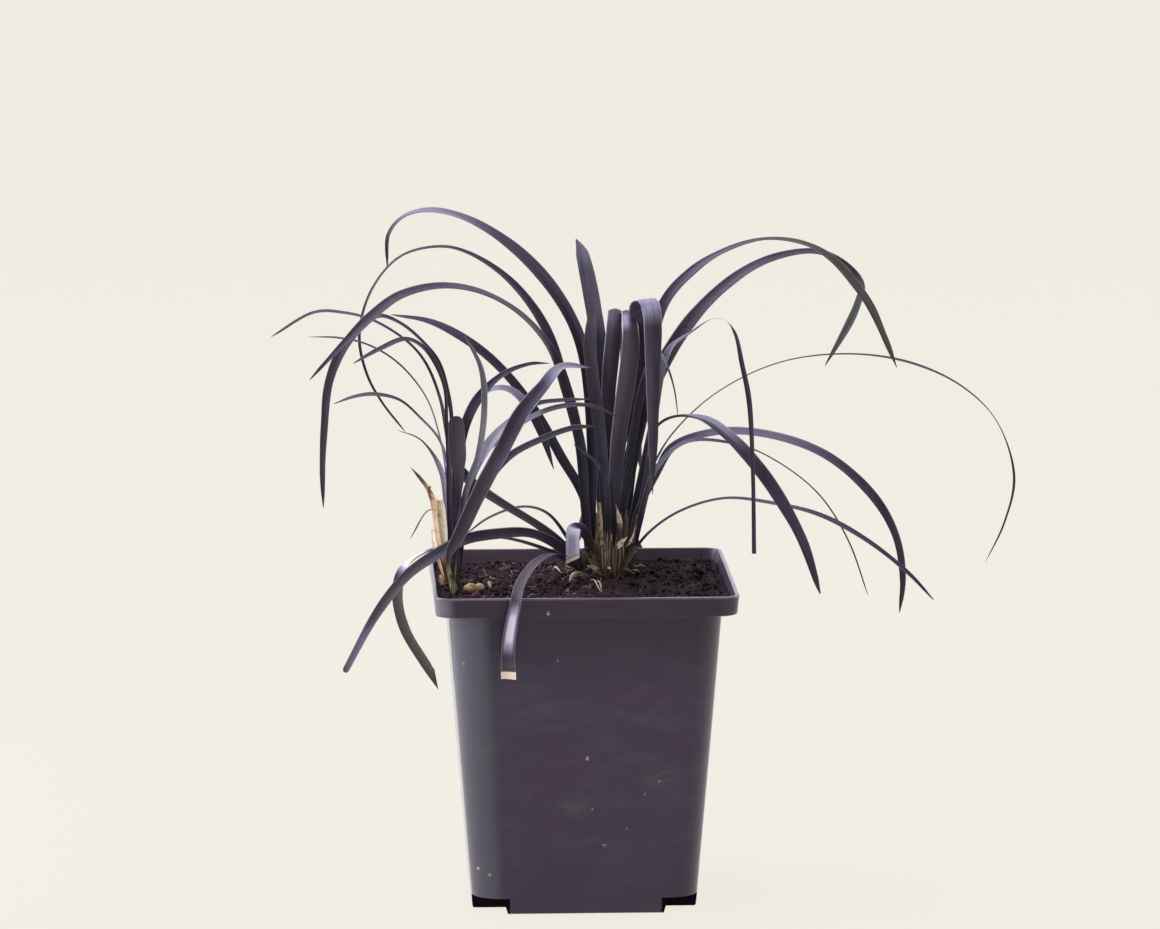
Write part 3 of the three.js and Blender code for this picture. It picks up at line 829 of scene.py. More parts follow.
@dataclass(frozen=True)
class Patch:
    """A stretch of a blade with a tone of its own, between two fractions of its length."""

    tone: Tone
    start: float
    end: float
    strength: float
    side: Side

    def at(self, t: float, across: float) -> float:
        """How strongly it shows.

        Args:
            t: The fraction of the blade's length.
            across: The place across it, from -1 to 1.

        Returns:
            Its strength there.
        """
        fade = min((self.end - self.start) * 0.3, 0.07)
        lengthwise = ease(t, self.start - fade, self.start + fade)
        lengthwise *= ease(t, self.end + fade, self.end - fade)
        sideways = {
            Side.WHOLE: 1.0,
            Side.MIDDLE: ease(abs(across), 0.85, 0.45),
            Side.LEFT: ease(across, 0.2, -0.4),
            Side.RIGHT: ease(across, -0.2, 0.4),
        }
        return self.strength * lengthwise * sideways[self.side]


@dataclass(frozen=True)
class Leaf:
    """One strap leaf: its centre line, widths and leans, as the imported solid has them."""

    course: tuple[float, ...]
    widths: tuple[float, ...]
    leans: tuple[float, ...]
    turn: float = 0
    tip: Tip = Tip.POINTED
    tip_length: float = 4.5
    slant: float = 0.08
    cup: float = 1.0
    # bloom scales the painted sheen where the blade faces up; edge scales its pale margins, partly
    # painted highlight.
    bloom: float = 1.0
    edge: float = 1.0
    pale_end: float = 0.0
    patches: tuple[Patch, ...] = ()

    def points(self) -> list[Point]:
        """The places of its centre line, which take three numbers of the course each."""
        return list(zip(*(self.course[axis::3] for axis in range(3))))

    def tones(self, t: float, across: float) -> list[float]:
        """The strength of each tone at one place.

        Args:
            t: The fraction of the blade's length.
            across: The place across it, from -1 to 1.

        Returns:
            One number for each tone, in its order.
        """
        found = [0.0] * len(Tone)
        for patch in self.patches:
            found[patch.tone.value] += patch.at(t, across)
        return found


def strap(
    course: tuple[float, ...],
    widths: tuple[float, ...],
    leans: tuple[float, ...],
    *patches: Patch,
    **settings: object,
) -> Leaf:
    """Makes a leaf with its patches."""
    return Leaf(course, widths, leans, patches=patches, **settings)


def scrap(*shape: object, **settings: object) -> Leaf:
    """Makes a leaf that is torn at its end."""
    return strap(*shape, tip=Tip.TORN, **settings)


@dataclass
class Drawing:
    """A form of blades, and what the next one gets.

    That is a number which shifts its markings, how much of the foot's colour it shows and for
    how many millimetres, and the share of the texture's height that is its own.
    """

    form: Form
    foot: tuple[float, float] = (0.0, 8.0)
    number: float = 0.0
    band: tuple[float, float] = (0.0, 1.0)

    def turn_to(self, number: float, row: int, rows: int) -> "Drawing":
        """Goes on to a row of so many, and hands itself back."""
        share = 1 / rows
        self.number, self.band = number, (row * share, (row + 0.94) * share)
        return self


@dataclass(frozen=True)
class BladeShape:
    """The cross-section of a blade and how finely it is drawn."""

    thickness: float = 0.46
    channel: float = 0.13
    step: float = 1.5
    # How much painted sheen faces turned up get.
    bloom: float = 0.2
    lift: float = 0.2
    raggedness: float = 0.035
    slices: tuple[float, ...] = (-1, -0.82, -0.55, -0.25, 0, 0.25, 0.55, 0.82, 1)
    torn: tuple[float, ...] = (0.5, 1.3, 0.2, 0.9, 2.1, 1.0, 1.7, 0.3, 0.8)

    def closing(self, leaf: Leaf, left: float, half: float) -> float:
        """The share of a blade's width that is left near its end.

        Args:
            leaf: The blade.
            left: The distance to its end in millimetres.
            half: Half its width there.

        Returns:
            A factor for its width.
        """
        if leaf.tip is Tip.POINTED:
            return 0.04 + 0.96 * min(left / leaf.tip_length, 1) ** 0.62
        if leaf.tip is Tip.ROUNDED:
            share = min(left / (1.3 * half), 1)
            return 0.1 + 0.9 * math.sqrt(1 - (1 - share) ** 2)
        return 1.0

    def setback(self, leaf: Leaf, slice_no: int, across: float, left: float, half: float) -> float:
        """How far a point near a cut or torn end is drawn back.

        Args:
            leaf: The blade.
            slice_no: The point's number across the blade.
            across: Its place across the blade, from -1 to 1.
            left: The distance to the end in millimetres.
            half: Half the blade's width there.

        Returns:
            The distance in millimetres.
        """
        reach = ease(left, 6 * half, 0)
        if leaf.tip is Tip.TORN:
            return reach * self.torn[slice_no] * half * 0.6
        if leaf.tip is Tip.CUT:
            return reach * (abs(leaf.slant) + across * leaf.slant) * half
        return 0.0

    def draw(self, drawing: Drawing, leaf: Leaf, path: Path) -> None:
        """Adds one blade to a drawing.

        Args:
            drawing: The drawing that it joins.
            leaf: The blade.
            path: Its centre line from the collar.
        """
        form, number, (foot, foot_reach) = drawing.form, drawing.number, drawing.foot
        stations = path.stations(self.step)
        places = [path.at(t) for t in stations]
        run = [0.0]
        for (a, _), (b, _) in zip(places, places[1:]):
            run.append(run[-1] + (b - a).length)
        swing = math.radians(leaf.turn)
        lowest, rings = min(leaf.widths), []
        for t, (centre, heading), gone in zip(stations, places, run):
            left = run[-1] - gone
            lean = math.radians(along(leaf.leans, t))
            face = Vector((math.sin(swing) * math.cos(lean), -math.cos(swing) * math.cos(lean),
                           math.sin(lean)))
            across = heading.cross(face).normalized()
            up = across.cross(heading)
            half = along(leaf.widths, t) / 2
            ragged = 1 + self.raggedness * noise.noise(Vector((gone * 0.16, number, 0)))
            wide = half * self.closing(leaf, left, max(half, lowest / 2)) * ragged
            ring = []
            last = len(self.slices) - 1
            for side, slices in ((1, range(last + 1)), (-1, range(last - 1, 0, -1))):
                for k in slices:
                    s = self.slices[k]
                    stout = min(self.thickness, half * 0.7)
                    thick = stout * (0.3 + 0.7 * (1 - s * s)) * min(1, 0.35 + wide / half)
                    rise = self.lift - 2 * wide * self.channel * leaf.cup * (1 - abs(s) ** 1.7)
                    if side < 0:
                        rise -= thick
                    back = self.setback(leaf, k, s, left, half)
                    at = centre + across * (s * wide) + up * rise - heading * back
                    # The first tone is painted sheen on blades and pale cream on dry strips, and
                    # faces turned up get more painted sheen.
                    bloom, olive, grey, brown, edge = leaf.tones(t, s)
                    outward = across * s
                    bloom += leaf.bloom * self.bloom * ease((up * side).z, 0.3, 1)
                    # Margins turned up or to the left get more of their pale colour as painted
                    # highlight.
                    edge += leaf.edge * (0.15 + 0.6 * ease(outward.z - 0.4 * outward.x, 0.1, 0.9))
                    dry = ease(left - 0.35 * abs(noise.noise(Vector((s * 2, number, 4)))),
                               leaf.pale_end + 0.25, leaf.pale_end - 0.25) if leaf.pale_end else 0.0
                    ring.append(form.point(
                        at,
                        flat=(s * half, gone, number * 7.3),
                        state=(bloom, olive, dry),
                        rim=(abs(s), left, foot * ease(gone, foot_reach, 3)),
                        tint=(grey, brown, edge),
                    ))
            rings.append(ring)
        form.loft(rings, band=(*drawing.band, [0.01 + 0.98 * x / run[-1] for x in run]))


@dataclass(frozen=True)
class Shoot:
    """A shoot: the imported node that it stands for, its stem and its leaves."""

    node: str
    root: tuple[float, float]
    collar: tuple[float, float]
    radius: float
    leaves: tuple[Leaf, ...]


@dataclass(frozen=True)
class StemShape:
    """The short stem that a shoot's leaves grow from."""

    neck_z: float = 96
    buried_z: float = 88
    mid_z: float = 92
    collar_z: float = 98
    top_z: float = 103
    height: float = 15
    top_share: float = 0.4
    sides: int = 18
    steps: int = 24

    def line(self, shoot: Shoot) -> list[Point]:
        """The stem's centre line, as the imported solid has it."""
        (rx, ry), (x, y) = shoot.root, shoot.collar
        return [((3 * rx + x) / 4, (3 * ry + y) / 4, self.buried_z),
                ((rx + x) / 2, (ry + y) / 2, self.mid_z), (x, y, self.collar_z), (x, y, self.top_z)]

    def neck(self, shoot: Shoot, leaf: Leaf) -> Point:
        """Where a leaf leaves the stem."""
        (x, y), (px, py, _) = shoot.collar, leaf.points()[0]
        reach = math.hypot(px - x, py - y)
        share = min(1, shoot.radius * 0.2 / reach) if reach else 0
        return x + (px - x) * share, y + (py - y) * share, self.neck_z

    def draw(self, drawing: Drawing, shoot: Shoot) -> None:
        """Adds the stem, ribbed by the leaf bases that wrap it.

        Args:
            drawing: The drawing that it joins.
            shoot: The shoot.
        """
        form, number, (foot, foot_reach) = drawing.form, drawing.number, drawing.foot
        path = Path(self.line(shoot))
        rings, shares = [], []
        for step in range(self.steps + 1):
            t = step / self.steps
            centre, _ = path.at(t)
            thick = shoot.radius * (1 + (self.top_share - 1) * ease(t, 0.35, 1))
            ring = []
            for turn, cosine, sine in circle(self.sides):
                ribbed = thick * (1 + 0.07 * math.cos(3 * turn + t * 2) + 0.03 * math.cos(7 * turn))
                at = centre + Vector((cosine, sine, 0)) * ribbed
                gone = t * self.height
                shown = foot * ease(gone - 5, foot_reach * 0.75, 3)
                ring.append(form.point(at, flat=(turn * thick, gone, number), rim=(0, 40, shown)))
            rings.append(ring)
            shares.append(0.01 + 0.1 * t)
        form.loft(rings, band=(*drawing.band, shares))


BLADE_MARKS = ("flat", "state", "rim", "tint")
SHOOTS = (
    Shoot("shoot_crown_left", (4, 17), (4, 17), 2.3, (
        strap((4, 18, 115, 4.5, 20, 131, 1.7, 23, 161, -5, 25, 176, -17, 27, 190, -32, 29, 200,
            -44, 30, 203, -52, 31, 201, -56.5, 31, 195.5, -57, 31, 185),
            (2.4, 3.4, 3.8, 4.8, 3.4, 1.6, 0.9), (10, 30, 50, 70, 75, 60), BLOOM(0.6, 0.82, 0.6),
            BLOOM(0.08, 0.6, 0.12, RIGHT), EDGE(0.7, 0.86, 0.2), bloom=0, edge=0.8),
        strap((2, 17, 115, 1, 17, 131, -4, 16, 151, -10, 16, 169, -20.5, 18, 183, -32.5, 20, 191,
            -41, 21, 193, -53, 22, 190, -61.7, 22, 180, -65.6, 22, 166, -63.5, 21, 154.5,
            -59, 20, 146, -52, 19, 137), (2.4, 3.2, 3.2, 1.3, 0.9, 0.9, 0.8),
            (10, 40, 60, 70, 60, 60), bloom=0.1),
        strap((2, 16, 116, 0, 15, 136, -4, 13, 152, -9, 10, 164, -18, 4, 175, -30, -4, 182.6,
            -42, -9, 185, -54, -13, 182.7, -63, -18, 176.8, -70, -22, 170.6, -81, -27, 159.5),
            (2.4, 3, 3.6, 3.8, 3.6, 1), (10, 40, 60, 70, 55, 40), BLOOM(0.5, 0.62, 0.15, RIGHT),
            bloom=0, edge=0.8),
        strap((2, 19, 116, -5, 20, 129, -12.6, 20, 142.5, -22, 20, 154.8, -31.5, 21, 163.2,
            -44, 22, 170, -56, 24, 172), (2.4, 3, 3, 3.4, 1), (10, 30, 50, 60),
            BLOOM(0.72, 0.9, 0.15, RIGHT), bloom=0.1),
    )),
    Shoot("shoot_crown_front", (2, 9), (2, 9), 2.2, (
        strap((-6, 5, 104, -15, 0, 109, -24, -6, 110, -35, -10.6, 109, -43, -11.4, 105,
            -52, -13, 99, -61, -14, 88, -71, -15, 70), (2.2, 3.4, 4, 4, 3.2, 2),
            (10, 40, 45, 40, 30), BROWN(0.5, 0.9, 0.2), OLIVE(0.7, 0.9, 0.2), BLOOM(0.91, 1, 0.3),
            EDGE(0.2, 0.5, 0.4, RIGHT), tip=Tip.ROUNDED, bloom=0, edge=0.5),
        strap((-10, 6, 103, -24, 5, 107, -35, 5, 106, -47, 3, 103, -53, 0, 99, -55, -5, 91,
            -53, -9, 82, -47, -12, 72, -42, -14, 65), (2, 1.4, 1, 1, 2.8, 3.2, 3.1, 3, 2.6),
            (10, 60, 85, 95, 60, 35, 20), OLIVE(0.64, 1), GREY(0.66, 1, 0.35),
            BLOOM(0.43, 0.56, 1.9), tip=Tip.CUT, slant=-2.2, bloom=0.2, edge=0.4),
        strap((-3, 9, 105, -10, 8, 114, -17, 7, 116, -27, 6, 113, -34, 6, 108), (1.6, 1.2, 1, 0.8),
            (20, 70, 60), EDGE(0.4, 1, 0.5), bloom=0.3),
        scrap((-5, 8, 104, -12, 6, 110, -24, 3, 118, -32, 3, 123.6, -36.3, 3, 127.9),
            (2, 2.8, 3.2, 3.4, 3.8, 4), (20, 50, 50), BROWN(0.3, 0.95), EDGE(0.3, 0.9, 0.4, RIGHT),
            bloom=0.2),
        strap((4.2, 6.6, 100.9, 2.9, 5.6, 105.1, 1.3, 4.5, 108.3, -0.2, 3, 110.4, -1.7, 1.5, 110.5,
            -2.4, 0, 108.5, -2.5, -1, 104.4, -2.6, -2, 99.8),
            (2.2, 2.4, 2.6, 3, 3.4, 4, 4.2, 4.2, 4.2), (0, 0, 0, 15, 50, 70, 35, 10, 0),
            BLOOM(0.62, 1, 1.9), EDGE(0.56, 1), BLOOM(0.72, 0.97, -0.7, MIDDLE), turn=10,
            tip=Tip.CUT, slant=-0.5, bloom=0, pale_end=1),
        strap((-2, 4, 100, -8, -8, 104, -14.2, -22, 104, -20.2, -44, 100, -21.4, -49, 96,
            -23.5, -51, 84, -23.5, -51, 74), (2, 1.6, 2.2, 3, 3.1, 3.3, 4, 4.4),
            (30, 80, 75, 20, 0), BROWN(0.4, 0.72, 0.7), GREY(0.73, 0.87, 1, MIDDLE),
            BLOOM(0.735, 0.865, 1.6, MIDDLE), BROWN(0.925, 0.965), tip=Tip.CUT, bloom=0.2,
            pale_end=2.2),
    )),
    Shoot("shoot_crown_centre", (9, 12), (9, 12), 2.4, (
        strap((8, 13, 126, 6.7, 14, 147, 6, 15, 163.7, 4.5, 16, 174.7, 2.8, 17, 184, 1, 17, 191.5,
            -0.7, 17, 195.5), (2.6, 4, 4.8, 5, 5, 4.8, 4.1, 2.8), (0, 0, 10, 20),
            BLOOM(0.5, 1, 0.25), BLOOM(0.8, 1, 0.35), turn=10, tip_length=5, edge=0.7),
        strap((6.5, 9, 136, 4, 8, 154, 3.1, 8, 164.3, 3.4, 8, 169.2, 3.9, 8, 175.4),
            (2.6, 3.4, 3.9, 4, 3.4, 2.2), (0, 0, 0), OLIVE(0.72, 1, 0.2), GREY(0.85, 1, 0.2),
            turn=-10, tip=Tip.ROUNDED, bloom=0.1, edge=0.5),
        strap((8.7, 12, 147, 9.6, 12, 159.5, 10.6, 14, 168.3, 11.2, 20, 173, 11.2, 30, 169,
            11, 42, 155, 11, 50, 138), (2.6, 4.4, 4.8, 4.8, 4.2, 3, 2, 1), (0, 10, 50, 100, 130),
            EDGE(0.3, 0.6, 0.3, LEFT), BROWN(0.1, 0.7, 0.25), cup=-1.3, bloom=0, edge=0.7),
        strap((11.9, 7, 138.6, 14, 6, 154, 15.2, 6.6, 164, 15.2, 8.6, 169.6, 14.7, 14, 173.2,
            14.6, 24, 170.8, 14.6, 36, 158, 15, 43, 143), (2.6, 4.8, 5.4, 5.5, 5, 3.6, 2.8, 2, 1),
            (0, 0, 30, 90, 130), EDGE(0.45, 0.68, 0.8), BLOOM(0.5, 0.6, 0.7, LEFT),
            BROWN(0.15, 0.8, 0.25), cup=-1.3, bloom=0, edge=0.7),
        strap((10.1, 14, 125.7, 13.6, 14, 137.7, 16.4, 13, 148, 18.2, 12, 157, 18.4, 10.8, 166,
            17.6, 10, 172, 17.6, 9.6, 175.4, 18.8, 8.8, 177.4, 20.6, 7.2, 177.4, 21.5, 5.8, 174.8,
            21.8, 5, 169.4, 21.8, 4.6, 163.4, 21.8, 4, 151.5, 21.8, 4, 139.5, 21.7, 4, 119.8), (2.6,
            3.4, 3.6, 3.6, 3.8, 4.2, 4.8, 5.4, 6, 6, 5.7, 5.4, 5, 4.1, 3.2, 1),
            (180, 180, 180, 180, 180, 180, 175, 150, 105, 60, 25, 10, 5, 0, 0, 0),
            BLOOM(0.525, 0.68), EDGE(0.5, 0.7, 0.4), BROWN(0.74, 1, 0.3, RIGHT), cup=-0.9,
            bloom=0.3, tip_length=9),
        strap((14, 13, 120, 18.3, 12, 147.4, 22, 11, 159.5, 24.4, 10, 161.4, 26.4, 9, 157.6,
            28.4, 8, 151, 29.5, 8, 143), (2.2, 2.4, 2.4, 2.4, 1.2, 0.7, 0.45, 0.3),
            (20, 20, 50, 40), BLOOM(0.4, 0.72), bloom=0.5, tip_length=2),
        strap((8, 7, 122, 6, 7, 128, -2, 5, 135), (1.8, 1.6, 0.9), (20, 60, 60), bloom=0.5),
    )),
    Shoot("shoot_crown_back", (13, 20), (13, 20), 2.4, (
        strap((17, 23, 130, 20.4, 24, 152, 26.2, 24, 175, 34.6, 25, 184.5, 44.5, 25, 190.8,
            56.5, 24, 194.4, 68.3, 21, 193.3, 76.2, 18, 189.1, 82.4, 15, 182.5, 87.3, 12, 175.6,
            91.6, 9, 166.1, 95.1, 7, 157.3),
            (2.4, 3, 3.2, 3.3, 3.2, 2.2, 1.3, 2.1, 2.7, 2.8, 2.6, 1.9, 0.9),
            (0, 20, 40, 60, 65, 45, 35, 30), BLOOM(0.26, 0.45, 0.2, MIDDLE), OLIVE(0.5, 1, 0.8),
            bloom=0.1),
        strap((12, 19, 106, 16, 19, 128, 20.4, 17, 146.5, 31.5, 17, 167.5, 43.6, 19, 180.4,
            56.7, 22, 188.1, 70.9, 26, 190.3, 78.3, 28, 187.9, 84.2, 30, 183, 86.4, 30, 179.1,
            85.1, 29, 174, 82.6, 28, 168.4, 75, 26, 155.3),
            (2.6, 3.4, 4.4, 4.8, 4.4, 3.9, 3.3, 2.6, 2.4, 2.2, 2, 2.2, 2.4, 0.9),
            (0, 15, 30, 50, 60, 50, 30, 20, 10), BLOOM(0.3, 0.62, 0.08, MIDDLE), GREY(0.72, 1, 0.8),
            bloom=0),
        strap((16, 21, 109, 23, 22, 126, 29, 23, 135.6, 42, 24.4, 147.4, 61, 28, 156, 82, 32, 158.1,
            101.5, 35, 155, 118, 37, 147, 128.6, 38, 136, 134, 38, 119, 131, 37, 105, 125, 35, 93),
            (1.5, 0.9, 0.7, 0.55, 0.45, 0.5, 0.7, 1.1, 0.7, 0.35, 0.8, 0.6, 0.3),
            (20, 60, 70, 60, 40), bloom=0.3),
        strap((22, 15, 138, 26.7, 12, 161.8, 33.5, 6, 168.9, 39.8, 1, 173.2, 43.2, -1, 172.8,
            45.8, -3, 169.2, 47.6, -8, 160.6, 49.5, -11, 150.5, 50.5, -14, 130, 50.9, -15, 104.8),
            (2.2, 2.4, 2.2, 1.2, 0.14, 0.1, 1.1, 1.5, 1.6, 1.2, 1.3), (0, 40, 80, 95, 60, 20, 10),
            BLOOM(0.14, 0.34, 0.7), EDGE(0.14, 0.4, 0.5), tip=Tip.CUT, bloom=0.2),
    )),
    Shoot("shoot_crown_right", (15, 12), (15, 12), 2.3, (
        strap((17, 13, 106, 20.4, 11, 125, 22.6, 8.6, 139, 28, 5.4, 143.4, 36.4, 1, 143.4,
            44.6, -5, 138.2, 51.7, -10, 130.8, 57.6, -13.6, 122.8, 65, -19, 109.4, 70, -24, 94),
            (2.2, 2, 1.6, 1.6, 2.4, 3.8, 4.2, 4.2, 4, 3, 1.6), (10, 50, 85, 95, 55, 35, 30, 30),
            BLOOM(0.4, 0.6, 0.7, LEFT), EDGE(0.38, 0.6, 0.3, LEFT), bloom=0),
        strap((17, 12, 111, 23, 12, 124, 28, 11, 133, 40, 8, 138, 55.5, 4, 138, 73, -2, 132.5,
            87, -7, 120.6, 93.6, -10, 109, 95.6, -12, 96.5, 94.5, -14, 86.5),
            (1.6, 2, 3.4, 4, 3.4, 2.2, 1.2), (10, 50, 65, 50, 30), BLOOM(0.36, 0.58, 0.25),
            EDGE(0.34, 0.6, 0.3, LEFT), bloom=0.1),
        strap((18, 10, 110, 23, 8, 127, 32, 5, 135.6, 48, 1, 135, 60, -2, 129.6, 71.3, -4, 120.4,
            79.5, -8, 107.5, 85.4, -11, 91), (1.6, 1.9, 1.6, 1.2, 0.5, 0.5, 0.5, 0.4),
            (10, 50, 60, 40), BLOOM(0.24, 0.42, 0.5), bloom=0.2),
        strap((16, 9, 101, 21, 7, 108, 30, 5, 114.6, 43, 2, 118.9, 57, -3, 118.2, 71, -9, 115.4,
            84, -15, 109, 96.4, -20, 99.6, 104, -23, 91.6), (1.2, 1, 0.9, 1, 1.4, 1.8, 1.4, 0.8),
            (10, 50, 60, 50, 40), BLOOM(0.36, 0.62, 0.15), bloom=0.2),
    )),
    Shoot("shoot_rear", (8, 27), (8, 27), 2.3, (
        strap((8, 34, 122, 9, 45, 129, 10, 57, 120, 11, 65, 100, 12, 67, 78), (2.4, 3.6, 3.8, 1.2),
            (0, 90, 150), bloom=0.2),
        strap((11, 33, 112, 14, 40, 110, 17, 48, 102, 23, 56, 89, 30, 61, 71, 34, 63, 57),
            (2.4, 3.2, 3.4, 1.2), (0, 90, 150), turn=-30, bloom=0.2),
        strap((5, 33, 110, 4, 40, 109, 2, 48, 101, -5, 56, 87, -13, 61, 69, -18, 63, 54),
            (2.4, 3.2, 3, 1.2), (0, 90, 150), turn=30, bloom=0.2),
        strap((7, 31, 132, 6, 38, 154, 5, 48, 159, 5, 58, 149, 5, 64, 132), (2.4, 4, 4, 1.2),
            (0, 90, 140)),
        strap((10, 31, 118, 15, 38, 132, 19, 48, 132, 21, 58, 119), (2.2, 3.4, 3.2, 1.2),
            (0, 90, 130)),
    )),
    Shoot("shoot_left_front", (-36.6, -15), (-39, -15), 1.2, (
        strap((-40, -16, 105, -37, -16, 111, -30, -13, 125, -24, -12, 136, -18, -10, 147,
            -12, -8, 154, -6, -5, 160, 3, -1, 159),
            (1.5, 1.3, 3.2, 4.2, 4.6, 4.7, 4.8, 4.6, 3.8, 2.4, 1), (0, 10, 30, 50, 50),
            BLOOM(0.8, 0.97, 0.7), BROWN(0.1, 0.5, 0.3), EDGE(0.6, 1, 0.3, RIGHT), bloom=0.3),
        strap((-37, -14, 110, -31, -10, 122, -22, -7, 133, -12, -4, 138, -2, -1, 141, 5, 1, 141),
            (1.3, 1.8, 2.5, 2.6, 2.2, 0.9), (10, 40, 55, 50), EDGE(0.3, 0.8, 0.3, RIGHT),
            bloom=0.1),
    )),
    Shoot("shoot_left_inner", (-35.4, -6.5), (-37.8, -6.5), 1.5, (
        strap((-35, -7, 121, -31, -7, 133, -29, -7, 148, -30, -7, 160, -35, -7, 170),
            (1.8, 1.9, 1.9, 0.9), (10, 20, 40), BLOOM(0.2, 0.6, 0.4), GREY(0.15, 1, 0.9),
            EDGE(0.3, 1, 0.4), bloom=0.2),
        strap((-37.6, -4, 128.6, -34, -1.4, 144.5, -29, -0.4, 151.7, -23, 0, 153, -18, 1, 150,
            -12, 2, 140, -8, 2, 128), (1.8, 2, 1.9, 2.2, 2.8, 2.8, 1), (0, 20, 60, 40, 20),
            BLOOM(0.44, 0.74, 1.1), bloom=0.3),
        strap((-36.6, -7.4, 134.4, -32, -5, 148.7, -24, -1, 156.7, -15, 4, 159.6, -9, 6, 159.4),
            (2, 2.8, 3.1, 2, 1.3, 0.8), (0, 20, 50, 50), bloom=0),
        strap((-34, -6, 123, -30, -5, 133, -24, -4, 141, -14, -1, 148, -6, 1, 149, 3, 3, 149),
            (1.8, 2.4, 3.2, 1.8, 1.6, 0.9), (10, 40, 60), BLOOM(0.26, 0.58, 1.3),
            EDGE(0.26, 0.58, 0.6), bloom=0.2),
        strap((-32, -4, 128, -27, -3, 136, -15, 0, 144, -6, 2, 147, 3, 3, 147, 12, 4, 143),
            (1.8, 2, 1.8, 0.9), (10, 40, 60), BLOOM(0.2, 0.32, 0.7), BLOOM(0.44, 0.56),
            BLOOM(0.56, 0.8, 0.15), bloom=0.2),
        strap((-36.9, -7, 113.8, -36.6, -8, 121.5, -36.6, -8.5, 127.3, -37.1, -9, 134.3,
            -37.5, -9, 146), (1.6, 1.3, 1.3, 2.8, 5.2, 5), (0, 0, 0), BROWN(0.5, 1, 0.35),
            tip=Tip.ROUNDED, bloom=0, edge=0.4),
    )),
    Shoot("shoot_left_outer", (-35.4, -0.5), (-38.5, -0.5), 1.6, (
        strap((-40, -1, 125, -42, -1, 138, -46, 0, 150, -54, 2, 160, -63, 4, 165.5, -72, 6, 167.5,
            -81, 8, 167.5), (1, 0.6, 0.5, 0.5, 0.6, 0.7, 0.8, 0.4), (10, 50, 60),
            GREY(0.05, 0.5, 0.8), EDGE(0.05, 0.5, 0.6), BLOOM(0.08, 0.45, 0.8), bloom=0.2),
        strap((-39, 0, 125, -42, 1, 137, -48, 2, 144, -54, 4, 149, -61.5, 6, 150.5, -67.5, 8, 149.5,
            -73.5, 10, 147), (1.2, 0.8, 0.8, 1.6, 0.9), (10, 50, 60), GREY(0.05, 0.45),
            EDGE(0.05, 0.45, 0.6), BLOOM(0.08, 0.4, 0.5), bloom=0.2),
        strap((-40, -2, 141, -41, -3, 155, -46, -5, 165, -52, -8, 169, -60, -11, 166.5,
            -68, -14, 162.5), (1.4, 1, 1.6, 2, 1), (10, 30, 60, 50), bloom=0),
        strap((-37.6, -0.5, 118.8, -39, 0, 131, -40.2, 0.5, 141, -42, 1, 150, -46, 2, 160,
            -51, 4, 166, -61.5, 7, 172.5, -70, 10, 174.5, -79, 12, 174.5, -92, 13, 167),
            (1.4, 1.4, 1.3, 0.9, 0.9, 1, 1.2, 0.9), (0, 10, 30, 60, 60, 50),
            BLOOM(0.01, 0.25, 1.15), GREY(0.05, 0.4, 0.8), EDGE(0.02, 0.3, 0.5), bloom=0.1),
        strap((-39.6, -2, 130, -38.6, -2, 144, -40, -2.4, 153, -42.6, -3, 161.4, -47, -4, 167.4,
            -53.8, -4, 173.2, -60, -4, 175.4, -65.6, -5, 172, -71.6, -8, 165, -75.2, -9.4, 156,
            -76.6, -11, 143, -77.2, -12, 131, -77, -12, 119),
            (1.6, 1.2, 1.2, 1.4, 1.4, 1.2, 1.2, 1.8, 2.8, 3, 2.6, 2.2, 1.7, 0.9),
            (10, 30, 60, 60, 30, 10), bloom=0),
        strap((-40.3, -1, 119, -42, -2, 129, -48, -3, 138, -55, -4, 141),
            (1.4, 1.6, 1.7, 0.6, 0.35), (0, 20, 60, 60), BLOOM(0.06, 0.62, 1.2), GREY(0.6, 1, 0.6),
            EDGE(0.02, 0.5, 0.4), bloom=0.2),
        strap((-40, 1, 114, -45, 2, 116, -51, 3, 107), (1, 0.6, 0.6, 0.5), (20, 60, 40),
            GREY(0.3, 0.85, 1.2), EDGE(0.3, 0.85, 0.8), bloom=0.2),
        strap((-39, 5, 119, -39, 15, 125, -38, 28, 119, -38, 40, 108, -38, 47, 101, -39, 52, 84),
            (2.2, 3, 3, 1), (0, 90, 140)),
    )),
)


@dataclass(frozen=True)
class LeafyShoots:
    """All the leafy shoots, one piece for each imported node."""

    blade: BladeShape = BladeShape()
    stem: StemShape = StemShape()
    green_footed: tuple[str, ...] = ("shoot_left_front",)
    green_foot: tuple[float, float] = (1.0, 8.0)
    dull_foot: tuple[float, float] = (0.75, 16.0)

    def build(self) -> None:
        """Builds every shoot."""
        for order, shoot in enumerate(SHOOTS):
            young = shoot.node in self.green_footed
            drawing = Drawing(Form(*BLADE_MARKS), self.green_foot if young else self.dull_foot)
            rows = len(shoot.leaves) + 1
            self.stem.draw(drawing.turn_to(order * 11.0, 0, rows), shoot)
            for row, leaf in enumerate(shoot.leaves, 1):
                path = Path([self.stem.neck(shoot, leaf), *leaf.points()])
                self.blade.draw(drawing.turn_to(order * 11.0 + row, row, rows), leaf, path)
            finish = YOUNG_LEAF if young else BLACK_LEAF
            drawing.form.piece(shoot.node + "_blades", finish, "black_leaf", shoot.node, sharp=55)


